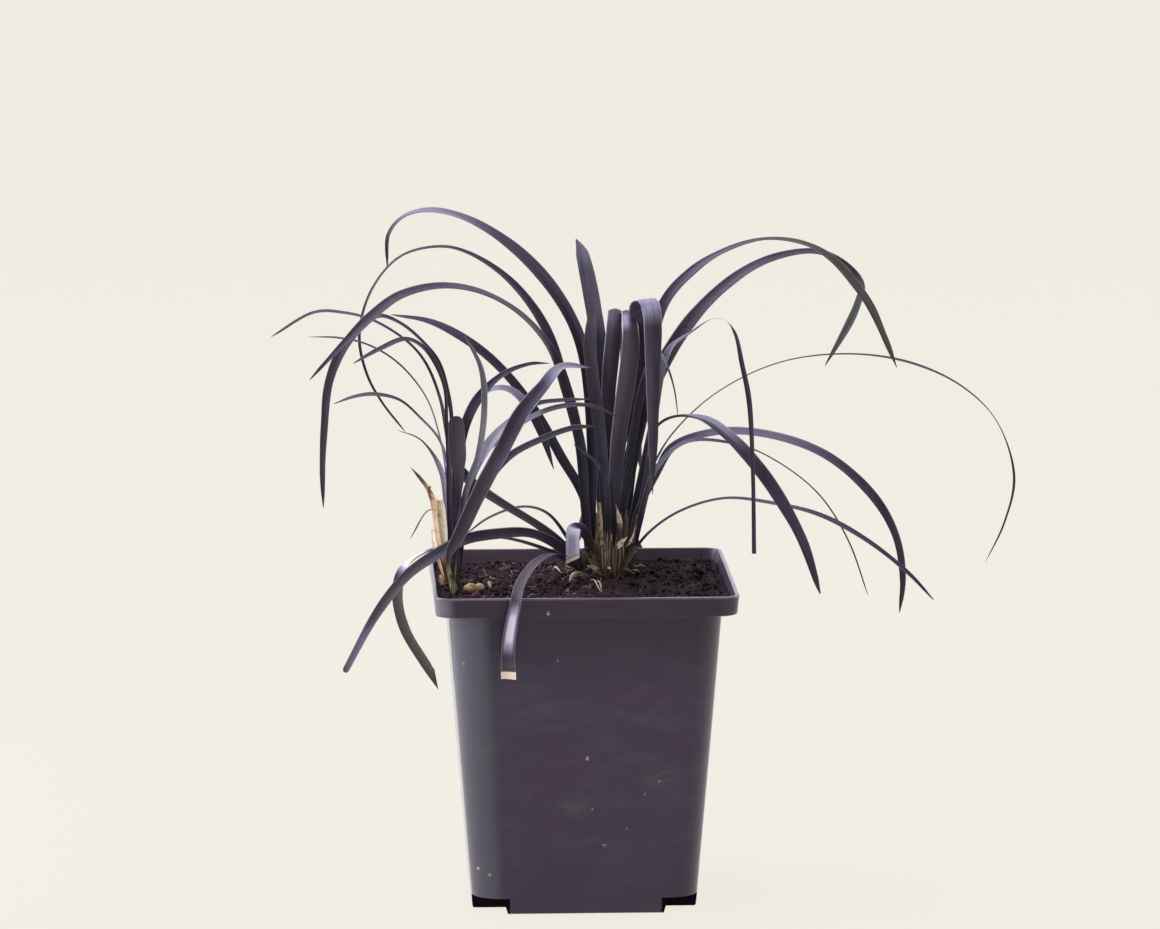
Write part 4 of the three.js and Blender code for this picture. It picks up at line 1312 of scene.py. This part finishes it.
@dataclass(frozen=True)
class DrySheaths:
    """The papery sheath beside the left shoots and the old fibrous sheaths round the crown."""

    papery: BladeShape = BladeShape(thickness=0.3, channel=0.3, step=0.7, bloom=0)
    fibrous: BladeShape = BladeShape(thickness=0.24, channel=0.25, step=0.6, bloom=0)
    tan: tuple[Leaf, ...] = (
        strap((-41, -10.4, 95.6, -41.6, -8.8, 103.9, -42.3, -7.4, 108.5, -42.7, -6.6, 113.8,
            -43.3, -6, 117.9, -44.6, -6, 121.3, -45.9, -6, 124, -48.4, -6, 127.3, -51, -6, 130.3),
            (0.6, 1.1, 2.4, 3.2, 3, 1.9, 1.3, 1, 0.7), (0, 10, 20), BROWN(0, 0.1),
            BLOOM(0.2, 0.52, 0.7), BROWN(0.38, 0.47, 0.8, RIGHT), BROWN(0.6, 0.66, 0.9, LEFT),
            GREY(0.78, 1), turn=-20, tip_length=4),
        scrap((-40.6, -10, 95.6, -40.8, -9.2, 103.9, -41.4, -8.8, 111.7, -42, -8.6, 117.7,
            -42.3, -8.4, 121), (0.6, 1.1, 2.5, 2.6, 2), (0, 5, 10), BROWN(0, 0.2),
            BLOOM(0.3, 0.95, 1.1), BROWN(0.66, 0.72, 0.7, LEFT), turn=10),
        scrap((-41, -10.2, 97, -42.6, -9.6, 102.4, -43.9, -9.2, 107, -44.5, -8.8, 112),
            (0.7, 1.2, 1.5, 1), (0, 5, 10), BLOOM(0.4, 1), OLIVE(0.5, 0.9, 0.4, LEFT), turn=-40),
        scrap((-41.6, -10.2, 95.4, -42.1, -10.4, 97, -42.4, -10.3, 98.4), (0.9, 1.6, 0.9), (0, 20),
            BLOOM(0, 1, 0.7)),
        scrap((-45, -6.3, 122, -45.5, -6.8, 123.4, -45.1, -7, 124.8), (0.7, 0.9, 0.7), (0, 30),
            BROWN(0, 1)),
    )
    crown_left: tuple[Leaf, ...] = (
        scrap((6.7, 6, 95, 6.2, 5.6, 103.6, 5.9, 5.8, 111.4, 5.8, 6.2, 117.4), (1.4, 1.9, 1.9, 1),
            (0, 10), OLIVE(0.2, 1, 0.8), BLOOM(0.3, 1, 0.35, RIGHT)),
        scrap((7.8, 5, 95, 7.6, 4.6, 100.1, 6.9, 5, 104.3, 6.2, 5.2, 107), (1.2, 1.7, 1.5, 0.7),
            (0, 10), BLOOM(0.3, 0.9, 0.7), OLIVE(0, 0.6, 0.6)),
        scrap((6.3, 4.6, 95.4, 3.5, 3.6, 99.4, 1.1, 3, 103.1), (1, 1.5, 0.7), (10, 40),
            OLIVE(0, 1, 0.8)),
        scrap((6.6, 4.2, 95.4, 4.4, 3, 97.8, 2, 2.4, 98.6), (1, 1.6, 0.8), (20, 60),
            BLOOM(0.3, 1, 0.5), OLIVE(0, 1, 0.5)),
        scrap((6, 5, 95.4, 4.5, 4.6, 100.1, 3.1, 4.4, 102.9), (1, 1.5, 0.6), (10, 30),
            OLIVE(0, 1, 0.9)),
        scrap((5.4, 5.4, 95.4, 4.8, 5.4, 101.2, 4.4, 6, 105.9), (1.1, 1.5, 0.8), (0, 10),
            BROWN(0, 1, 0.8), turn=-20),
        scrap((9, 4.8, 95, 9.3, 4.6, 100.1, 9.6, 5, 104.2), (1.2, 1.6, 0.7), (0, 20),
            BROWN(0, 1, 0.7), OLIVE(0.3, 1, 0.7)),
        scrap((7, 4, 95.4, 8, 3, 98, 9, 1.4, 97.6), (1, 1.3, 0.6), (30, 60), BROWN(0, 0.6, 0.8),
            BLOOM(0.7, 1, 0.6)),
    )
    crown_right: tuple[Leaf, ...] = (
        strap((11.1, 5.4, 95, 11.7, 5.2, 104.5, 11.9, 5.6, 111.4, 10.7, 6, 117),
            (1.3, 1.7, 1.6, 0.6), (0, 10), BLOOM(0.62, 1, 0.7), BROWN(0, 0.6, 0.9), tip_length=5),
        strap((10.2, 4.6, 102.5, 12.3, 4, 105.3, 14.3, 3.4, 107.2), (1.1, 1.7, 0.7), (10, 40),
            BLOOM(0.2, 1), tip_length=3),
        scrap((12.7, 6, 95, 13.2, 5.6, 104.4, 14, 5.6, 110.2, 14.1, 6, 115), (1.4, 1.7, 1.3, 0.6),
            (0, 10), GREY(0, 1, 0.8), BLOOM(0.8, 1, 0.5, LEFT)),
        scrap((13.9, 6, 95.2, 14.7, 5.4, 103.2, 16.1, 5, 109.1, 17, 5.2, 113.6),
            (1.4, 1.9, 1.6, 0.7), (0, 20), GREY(0, 1, 0.9), BLOOM(0.7, 0.8, 0.6, RIGHT)),
        scrap((15, 5.2, 95.4, 15.6, 4.4, 101.3, 16.8, 4, 104.3), (1.1, 1.5, 0.7), (0, 30),
            BROWN(0, 1, 0.7)),
        scrap((11.7, 4, 95.4, 14, 2.6, 100.3, 16.6, 1.8, 103.8), (1.3, 2, 1.7), (10, 40),
            GREY(0, 1, 0.9), BLOOM(0, 0.2, 0.7, LEFT)),
        scrap((13.3, 6.4, 95.2, 13, 6.6, 103.3, 12.7, 7, 109.4, 12.4, 7.4, 113.9),
            (1.3, 1.6, 1.3, 0.6), (0, 10), BROWN(0, 1, 0.9)),
        strap((14.1, 4.4, 104.4, 15.6, 4, 106.8, 16.6, 4, 110.1), (0.7, 0.6, 0.3), (20, 40),
            BLOOM(0.2, 1), tip_length=3),
        strap((13.8, 4.4, 104.2, 15.2, 3.6, 105.3, 16.6, 3.4, 106), (0.7, 0.5, 0.3), (20, 40),
            BLOOM(0.3, 1, 0.9), tip_length=3),
        scrap((10.2, 4.8, 95.2, 10.5, 4.6, 99.4, 10.5, 5, 103.3), (1.3, 1.6, 0.7), (0, 10),
            OLIVE(0, 1, 0.8)),
        scrap((12.6, 3.8, 95.2, 13.2, 2.4, 97.6, 15.4, 0.6, 97), (0.9, 1.2, 0.6), (30, 60),
            BROWN(0, 1, 0.8)),
    )

    def build(self) -> None:
        """Builds the three groups."""
        groups = (
            ("sheath_left_tan", self.tan, self.papery, TAN_SHEATH, "tan_sheath"),
            ("old_sheaths_crown_left", self.crown_left, self.fibrous, OLD_SHEATH, "old_sheath"),
            ("old_sheaths_crown_right", self.crown_right, self.fibrous, OLD_SHEATH, "old_sheath"),
        )
        for node, strips, shape, finish, slot in groups:
            drawing = Drawing(Form(*BLADE_MARKS))
            for row, strip in enumerate(strips):
                drawing.turn_to(row * 3.7, row, len(strips))
                shape.draw(drawing, strip, Path(strip.points()))
            drawing.form.piece(node + "_strips", finish, slot, node, sharp=55)


# ---- Pot --------------------------------------------------------------------------------
@dataclass(frozen=True)
class Pot:
    """The square nursery pot: a tapered body, a stepped rim band and four raised corners."""

    rim_half: float = 45
    rim_corner: float = 5.5
    height: float = 97
    band_z: float = 91.2
    top_half: float = 40.6
    base_half: float = 33.3
    corner_base: float = 9.2
    corner_top: float = 12
    wall: float = 1.2
    floor_z: float = 5.9
    foot_height: float = 4.7
    notch_width: float = 8.8
    notch_slant: float = 1.4
    drain_radius: float = 3
    drain_offset: float = 28.6
    wobble: float = 0.13
    corner_steps: int = 12
    side_steps: int = 14

    def ring(self, z: float, half: float, corner: float) -> list[Vector]:
        """A square outline with round corners.

        Args:
            z: Its height.
            half: Half its width.
            corner: The radius of its corners.

        Returns:
            Its points, counter-clockwise.
        """
        centre = half - corner
        found = []
        for quarter, (sx, sy) in enumerate(((1, 1), (-1, 1), (-1, -1), (1, -1))):
            hub = Vector((centre * sx, centre * sy, z))
            for step in range(self.corner_steps + 1):
                turn = (quarter + step / self.corner_steps) * math.pi / 2
                found.append(hub + Vector((math.cos(turn), math.sin(turn), 0)) * corner)
            turn = (quarter + 1) * math.pi / 2
            out = Vector((math.cos(turn), math.sin(turn), 0))
            sideways = Vector((-out.y, out.x, 0))
            for step in range(1, self.side_steps):
                share = step / self.side_steps
                found.append(Vector((0, 0, z)) + out * half + sideways * (2 * share - 1) * centre)
        return found

    def half_at(self, z: float) -> float:
        """Half the body's width outside at a height."""
        return self.base_half + (self.top_half - self.base_half) * z / (self.band_z - 0.6)

    def corner_at(self, z: float) -> float:
        """The radius of the body's corners outside at a height."""
        return self.corner_base + (self.corner_top - self.corner_base) * z / (self.band_z - 0.6)

    def outside(self) -> list[tuple[float, float, float]]:
        """Height, half width and corner radius of each outer ring, from the bottom up."""
        base, top, edge = self.corner_base, self.corner_top, self.rim_half - 0.5
        rows = [(0, self.base_half - 0.5, base - 0.5), (0.2, self.base_half - 0.15, base),
                (0.6, self.half_at(0.6), self.corner_at(0.6))]
        rows += [(z, self.half_at(z), self.corner_at(z)) for z in range(3, 90, 4)]
        rows += [(90.0, self.half_at(90.0), top), (90.7, self.top_half + 0.1, top),
                 (90.95, self.top_half + 0.5, top - 0.3)]
        steps = ((91.0, -1.2), (91.05, -0.6), (91.25, -0.15), (91.6, 0), (93.4, 0.15), (95.4, 0.3),
                 (96.2, 0.42), (96.6, 0.5), (96.88, 0.38), (self.height, 0.05))
        return rows + [(z, edge + out, self.rim_corner) for z, out in steps]

    def inside(self) -> list[tuple[float, float, float]]:
        """Height, half width and corner radius of each inner ring, from the rim down."""
        lip, wall = self.rim_half - self.wall, self.wall
        rows = [(self.height, lip + 0.25, 4.6), (96.85, lip, 4.3), (96.3, lip - 0.1, 4.3),
                (94.5, lip - 0.3, 4.3), (92.6, lip - 0.48, 4.3), (92.2, lip - 0.7, 4.4),
                (90.4, self.top_half - 1.1, self.corner_top - wall)]
        levels = (89, 60, 30, self.floor_z)
        return rows + [(z, self.half_at(z) - wall, self.corner_at(z) - wall) for z in levels]

    def shell(self) -> Form:
        """Draws the pot's one closed skin, before its corners are cut.

        Returns:
            Its form.
        """
        form = Form()
        rings = []
        for z, half, corner in (*self.outside(), *self.inside()):
            ring = []
            for at in self.ring(z, half, corner):
                bend = noise.noise(Vector((at.x, at.y, at.z * 0.7)) * 0.045)
                out = Vector((at.x, at.y, 0)).normalized()
                ring.append(form.point(at + out * bend * self.wobble))
            rings.append(ring)
        form.loft(rings)
        return form

    def cutters(self) -> Form:
        """Draws the four corner blocks and the four drain holes that are cut from the shell.

        Returns:
            A form of eight closed bodies.
        """
        form = Form()
        inner, wide = self.base_half - self.notch_width, self.drain_radius
        half, centre = (self.rim_half - inner) / 2, (self.rim_half + inner) / 2
        square = ((1, 1), (-1, 1), (-1, -1), (1, -1))
        hole = [(cosine, sine) for _, cosine, sine in circle(24)]
        bodies = (
            (centre, square, ((-1, half + self.notch_slant * 1.2), (self.foot_height, half))),
            (self.drain_offset, hole, ((self.foot_height - 1, wide), (self.floor_z + 2, wide))),
        )
        for sx, sy in ((-1, -1), (-1, 1), (1, -1), (1, 1)):
            for hub, outline, levels in bodies:
                form.loft([form.ring(Vector((sx * hub + a * size, sy * hub + b * size, z))
                                     for a, b in outline) for z, size in levels])
        return form

    def build(self) -> None:
        """Cuts the shell and makes the pot."""
        shell = put_in_scene("pot_shell", faces_out(self.shell().mesh("pot_shell")))
        cutters = put_in_scene("pot_cutters", faces_out(self.cutters().mesh("pot_cutters")))
        cut = shell.modifiers.new("corners", "BOOLEAN")
        cut.operation, cut.solver, cut.use_self = "DIFFERENCE", "EXACT", True
        cut.object = cutters
        graph = bpy.context.evaluated_depsgraph_get()
        mesh = bpy.data.meshes.new_from_object(shell.evaluated_get(graph))
        for made in (shell, cutters):
            bpy.data.objects.remove(made)
        Piece("pot_moulded", POT_PLASTIC, "pot_plastic", ("pot_square_nursery",), 32).dress(mesh)


# ---- Soil and what lies on it -----------------------------------------------------------
@dataclass(frozen=True)
class Soil:
    """The potting soil with its crumbs, clods and root fibres."""

    level: float = 93.3
    outline: float = 42.95
    corner: float = 4.2
    rings: int = 116
    crumbs: int = 2600
    clods: int = 60
    fibres: int = 560
    sunk: tuple[Point, ...] = (
        (92.3, 42.6, 4.2), (89.9, 38.9, 10.6), (60, 36.4, 9.6), (6.3, 32.2, 7.8),
    )
    crumb_size: tuple[float, float] = (0.2, 0.95)
    clod_size: tuple[float, float] = (0.9, 1.9)
    reach: float = 41.3
    rooted: float = 39
    laid: float = 41
    seed: int = 7

    def height(self, x: float, y: float) -> float:
        """The soil's height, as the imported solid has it."""
        mound = 2.6 * math.exp(-((x - 9) ** 2 + (y - 14) ** 2) / 260)
        dip = 1.8 * math.exp(-((x + 26) ** 2 + (y - 26) ** 2) / 180)
        clods = 0.35 * math.sin(x * 0.52 + 1.3) * math.cos(y * 0.47)
        clods += 0.2 * math.sin(x * 1.1 + y * 0.9)
        return self.level + mound - dip + clods

    def relief(self, x: float, y: float) -> float:
        """The finer lumps and hollows on it, about 1 mm up and down."""
        at = Vector((x, y, 3))
        lumps = noise.noise(at * 0.34) * 1.1 + noise.noise(at * 0.8) * 0.75
        return lumps + noise.noise(at * 1.9) * 0.45 - 0.5 * abs(noise.noise(at * 0.55))

    def mass(self) -> None:
        """Builds the body of soil with its uneven top."""
        pot = Pot()
        form = Form("soil")
        rim = pot.ring(0, self.outline, self.corner)
        hub = form.point(Vector((0, 0, self.height(0, 0) + self.relief(0, 0))))
        rings = []
        for row in range(1, self.rings + 1):
            ring = []
            for edge in rim:
                x, y = edge.x * row / self.rings, edge.y * row / self.rings
                lump = self.relief(x, y)
                at = Vector((x, y, self.height(x, y) + lump))
                # The lump height also sets the painted shade of the dips.
                ring.append(form.point(at, soil=(lump, 0.0, 0.0)))
            rings.append(ring)
        # The soil against the pot wall gets the darkest painted shade.
        for z, half, corner in self.sunk:
            rings.append(form.ring(pot.ring(z, half, corner), soil=(-1.0, 0.0, 0.0)))
        form.loft(rings, caps=(False, True))
        first = rings[0]
        form.faces += [(hub, first[(k + 1) % len(first)], first[k]) for k in range(len(first))]
        form.piece("soil_peat", PEAT, "soil", "potting_soil", sharp=180)

    def crumb_form(
        self, count: int, sizes: tuple[float, float], finer: int, draw: random.Random
    ) -> Form:
        """Scatters lumps over the soil.

        Args:
            count: How many.
            sizes: The smallest and largest radius in millimetres.
            finer: How often each lump's ball is divided.
            draw: The random draw.

        Returns:
            The form that holds them.
        """
        ball = bmesh.new()
        bmesh.ops.create_icosphere(ball, subdivisions=finer, radius=1)
        corners = [v.co.copy() for v in ball.verts]
        faces = [tuple(v.index for v in f.verts) for f in ball.faces]
        ball.free()
        form = Form("soil")
        for _ in range(count):
            x, y = (draw.uniform(-self.reach, self.reach) for _ in range(2))
            size = sizes[0] + (sizes[1] - sizes[0]) * draw.random() ** 2.6
            squash = [draw.uniform(0.65, 1.25) for _ in range(3)]
            shift, tone = draw.uniform(0, 90), draw.uniform(-0.5, 1.2)
            z = self.height(x, y) + self.relief(x, y) + size * draw.uniform(-0.1, 0.45)
            start = len(form.points)
            for corner in corners:
                rough = 1 + 0.42 * noise.noise(corner * 1.3 + Vector((shift, 0, 0)))
                at = Vector([c * s for c, s in zip(corner, squash)]) * size * rough
                # Each crumb's underside is marked for painted shade, its top for the lighter
                # colour.
                form.point(Vector((x, y, z)) + at, soil=(at.z / size, tone, 0.0))
            form.faces += [tuple(start + k for k in face) for face in faces]
        return form

    def fibre_form(self, draw: random.Random) -> Form:
        """Scatters root fibres that lie on the soil and loop just over it.

        Args:
            draw: The random draw.

        Returns:
            The form that holds them.
        """
        form = Form("flat", "state", "tint")
        for number in range(self.fibres):
            near = draw.random() < 0.35
            spread = 9 if near else 30
            x = within(draw.gauss(9 if near else 0, spread), self.rooted)
            y = within(draw.gauss(10 if near else 0, spread), self.rooted)
            turn = draw.uniform(0, TURN)
            points = []
            for k in range(5):
                z = self.height(x, y) + self.relief(x, y) + 0.35 + 0.9 * draw.random() * (k % 2)
                points.append((x, y, z))
                turn += draw.gauss(0, 0.55)
                step = draw.uniform(0.4, 1.2)
                x = within(x + step * math.cos(turn), self.laid)
                y = within(y + step * math.sin(turn), self.laid)
            bright = 1.0 if x < 6 and draw.random() < 0.2 else 0.0
            marks = {"flat": (number * 0.7, number, 0.0), "state": (bright * 0.6, 0.0, 0.0),
                     "tint": (0.0, 0.9 * (1 - bright), 0.0)}
            thread(form, points, draw.uniform(0.05, 0.13), 4, **marks)
        return form

    def build(self) -> None:
        """Builds the soil and scatters its crumbs, clods and fibres."""
        draw = random.Random(self.seed)
        self.mass()
        crumbs = self.crumb_form(self.crumbs, self.crumb_size, 1, draw)
        crumbs.piece("soil_crumbs", PEAT, "soil", sharp=50)
        clods = self.crumb_form(self.clods, self.clod_size, 2, draw)
        clods.piece("soil_clods", PEAT, "soil", sharp=60)
        self.fibre_form(draw).piece("soil_fibres", ROOT_THREAD, "old_sheath")


@dataclass(frozen=True)
class Litter:
    """The small things on the soil: the tuber, pale root stubs, straw and torn leaf bases."""

    soil: Soil = Soil()
    lumps: tuple[tuple[Point, Point], ...] = (
        ((-33.4, -10.5, 94.4), (2, 1.7, 1.5)), ((-30.6, -10, 94.6), (1.4, 1.3, 1.2)),
    )
    stubs: tuple[tuple[tuple[Point, ...], float], ...] = (
        (((-3.4, -0.6, 94.9), (-2.4, 0.6, 96), (-1.2, 2.2, 96.5), (0.6, 4.0, 96.2)), 0.72),
        (((-27.9, -6.4, 94.2), (-27.7, -7.8, 95.6), (-27.5, -9.8, 95.3), (-27.4, -11.4, 94.2)),
         0.55),
    )
    straws: tuple[tuple[tuple[Point, ...], float], ...] = (
        (((2.8, -3.4, 95.4), (3.6, -8.0, 96.2), (4.2, -15.0, 95.8), (5.0, -20.4, 94.6)), 0.15),
        (((3.9, -5.4, 95.2), (5.0, -9.6, 96.0), (5.2, -13.6, 95.6), (5.4, -18.7, 94.4)), 0.18),
        (((-7.4, 20.8, 94.6), (-6.9, 18.6, 95.7), (-6.3, 16.6, 95.6), (-5.3, 14.3, 94.6)), 0.3),
    )
    rows: int = 20
    sides: int = 28
    crown: tuple[float, float] = (9.8, 10.5)
    splayed: int = 230
    seed: int = 21

    def tuber(self) -> None:
        """Builds the yellow tuber, its two lumps drawn together and dimpled."""
        form = Form()
        for number, (centre, radii) in enumerate(self.lumps):
            rings = []
            for row in range(1, self.rows):
                polar = math.pi * row / self.rows
                ring = []
                for _, cosine, sine in circle(self.sides):
                    height, reach = math.cos(polar), math.sin(polar)
                    out = Vector((height, reach * cosine, reach * sine))
                    rough = 1 + 0.10 * noise.noise(out * 1.7 + Vector((number * 9, 0, 0)))
                    rough += 0.035 * noise.noise(out * 5)
                    rough -= 0.05 * math.exp(-((polar - 2.4) * 5) ** 2)
                    at = Vector([o * r for o, r in zip(out, radii)]) * rough
                    ring.append(form.point(Vector(centre) + at))
                rings.append(ring)
            form.loft(rings)
        form.piece("tuber_lumps", TUBER_SKIN, "tuber", "tuber_yellow", sharp=70)

    def crown_threads(self, draw: random.Random) -> Form:
        """Splays dry fibres round the foot of the crown.

        Args:
            draw: The random draw.

        Returns:
            The form that holds them.
        """
        form = Form("flat", "state", "tint")
        for number in range(self.splayed):
            upright = draw.random() < 0.72
            turn = draw.uniform(-0.95, -0.05) * math.pi if upright else draw.uniform(0, TURN)
            reach = draw.uniform(4.6, 6.6) if upright else draw.uniform(3.5, 6.0)
            x, y = self.crown[0] + reach * math.cos(turn), self.crown[1] + reach * math.sin(turn)
            points = [(x, y, self.soil.height(x, y) - 0.6)]
            z = points[0][2] + 1.2
            for _ in range(3):
                outward = draw.uniform(-0.35, 0.5) if upright else draw.uniform(0.8, 2.2)
                x += outward * math.cos(turn) + draw.gauss(0, 0.25)
                y += outward * math.sin(turn) * 0.6 + draw.gauss(0, 0.2)
                z += draw.uniform(1.2, 4.6) if upright else draw.uniform(-0.9, 0.9)
                points.append((x, y, max(z, self.soil.height(x, y) + 0.4)))
            pale, olive = draw.choice(((0.7, 0.0), (0.2, 0.6), (0.0, 0.9), (0.0, 0.0), (0.0, 0.0)))
            marks = {"flat": (number * 0.9, number, 0.0), "state": (pale, olive, 0.0),
                     "tint": (0.0, 0.5 * (1 - pale - olive), 0.0)}
            thread(form, points, draw.uniform(0.12, 0.34), 5, **marks)
        return form

    def build(self) -> None:
        """Builds everything that lies on the soil."""
        self.tuber()
        for name, strands, sides in (("root_stubs", self.stubs, 9), ("straw", self.straws, 6)):
            form = Form("flat")
            for points, radius in strands:
                thread(form, points, radius, sides)
            form.piece(name, PALE_ROOT, "tan_sheath")
        fibres = self.crown_threads(random.Random(self.seed))
        fibres.piece("crown_fibres", OLD_SHEATH, "old_sheath")


# ---- Studio -----------------------------------------------------------------------------
def aimed(made: bpy.types.Object, at: Point, aim: Point) -> None:
    """Puts a light or camera at a place and turns it to look at another."""
    made.location = at
    made.rotation_euler = (Vector(aim) - Vector(at)).to_track_quat("-Z", "Y").to_euler()


@dataclass(frozen=True)
class Softbox:
    """A soft light that only shows by what it lights, in metres and watts."""

    name: str
    at: Point
    size: tuple[float, float]
    watts: float
    colour: Colour
    aim: Point = (0, 0, 0.1)

    def hang(self) -> None:
        """Puts it in the scene."""
        lamp = bpy.data.lights.new(self.name, "AREA")
        lamp.shape = "RECTANGLE"
        lamp.size, lamp.size_y = self.size
        lamp.energy = self.watts
        lamp.color = self.colour
        made = put_in_scene(self.name, lamp)
        aimed(made, self.at, self.aim)
        made.visible_camera = False


@dataclass(frozen=True)
class Studio:
    """The pale floor, the soft lights and the camera."""

    floor_radius: float = 14
    floor_sides: int = 96
    camera_at: Point = (-0.0964, -2.1109, 0.4557)
    looks_at: Point = (0.00035, 0.0127, 0.1278)
    focal_mm: float = 222.2
    sensor_mm: float = 36
    sees: tuple[float, float] = (0.05, 60)
    seen: Colour = (0.88, 0.855, 0.768)
    behind: Colour = (1.0, 0.98, 1.12)
    before: Colour = (0.30, 0.265, 0.31)
    lights: tuple[Softbox, ...] = (
        Softbox("overhead", (-0.5, 0.1, 1.7), (1.2, 1.2), 18, (0.95, 0.94, 1.0)),
        Softbox("left_wall", (-1.5, 0.35, 0.6), (0.9, 0.9), 16, (0.92, 0.93, 1.0)),
        Softbox("right_wall", (1.6, 0.9, 0.7), (0.8, 0.8), 9, (0.95, 0.94, 1.0)),
        Softbox("left_front", (-0.75, -0.6, 0.3), (0.5, 0.5), 2.2, (0.92, 0.92, 1.0)),
        Softbox("left_card", (-0.19, -0.1, 0.06), (0.7, 0.12), 0.14, (0.82, 0.9, 1.0),
                aim=(0, -0.1, 0.06)),
    )

    def floor(self) -> None:
        """Lays the floor."""
        mesh = bpy.data.meshes.new("paper_floor")
        reach = self.floor_radius
        rim = [(reach * cosine, reach * sine, 0) for _, cosine, sine in circle(self.floor_sides)]
        mesh.from_pydata(rim, [], [tuple(range(self.floor_sides))])
        mesh.materials.append(PAPER_FLOOR.material())
        put_in_scene("paper_floor", mesh)

    def sky(self) -> None:
        """Lights the scene from all round, brighter from behind and above."""
        world = bpy.data.worlds.new("studio_air")
        world.use_nodes = True
        graph = Graph(world.node_tree)
        x, y, z = graph.add("ShaderNodeTexCoord", {}, {}, "Generated").split()
        rear = (y - x * 0.35 + z * 0.5).over(-0.25, 0.75)
        straight = graph.add("ShaderNodeLightPath", {}, {}, "Is Camera Ray")
        air = graph.paint(self.before, (rear, self.behind), (straight, self.seen))
        shader = graph.add("ShaderNodeBackground", {}, {"Color": air, "Strength": 1.0})
        graph.add("ShaderNodeOutputWorld", {}, {"Surface": shader})
        bpy.context.scene.world = world

    def camera(self) -> None:
        """Sets up the camera."""
        lens = bpy.data.cameras.new("camera")
        lens.lens, lens.sensor_width = self.focal_mm, self.sensor_mm
        lens.clip_start, lens.clip_end = self.sees
        bpy.context.scene.camera = put_in_scene("camera", lens)
        aimed(bpy.context.scene.camera, self.camera_at, self.looks_at)

    def build(self) -> None:
        """Builds the studio."""
        bpy.context.scene.view_settings.view_transform = "Standard"
        self.floor()
        self.sky()
        for light in self.lights:
            light.hang()
        self.camera()


def main() -> None:
    """Builds the studio and every piece."""
    logging.basicConfig(level=logging.INFO, format="%(name)s %(message)s")
    Studio().build()
    Pot().build()
    Soil().build()
    Litter().build()
    DrySheaths().build()
    LeafyShoots().build()


if __name__ == "__main__":
    main()
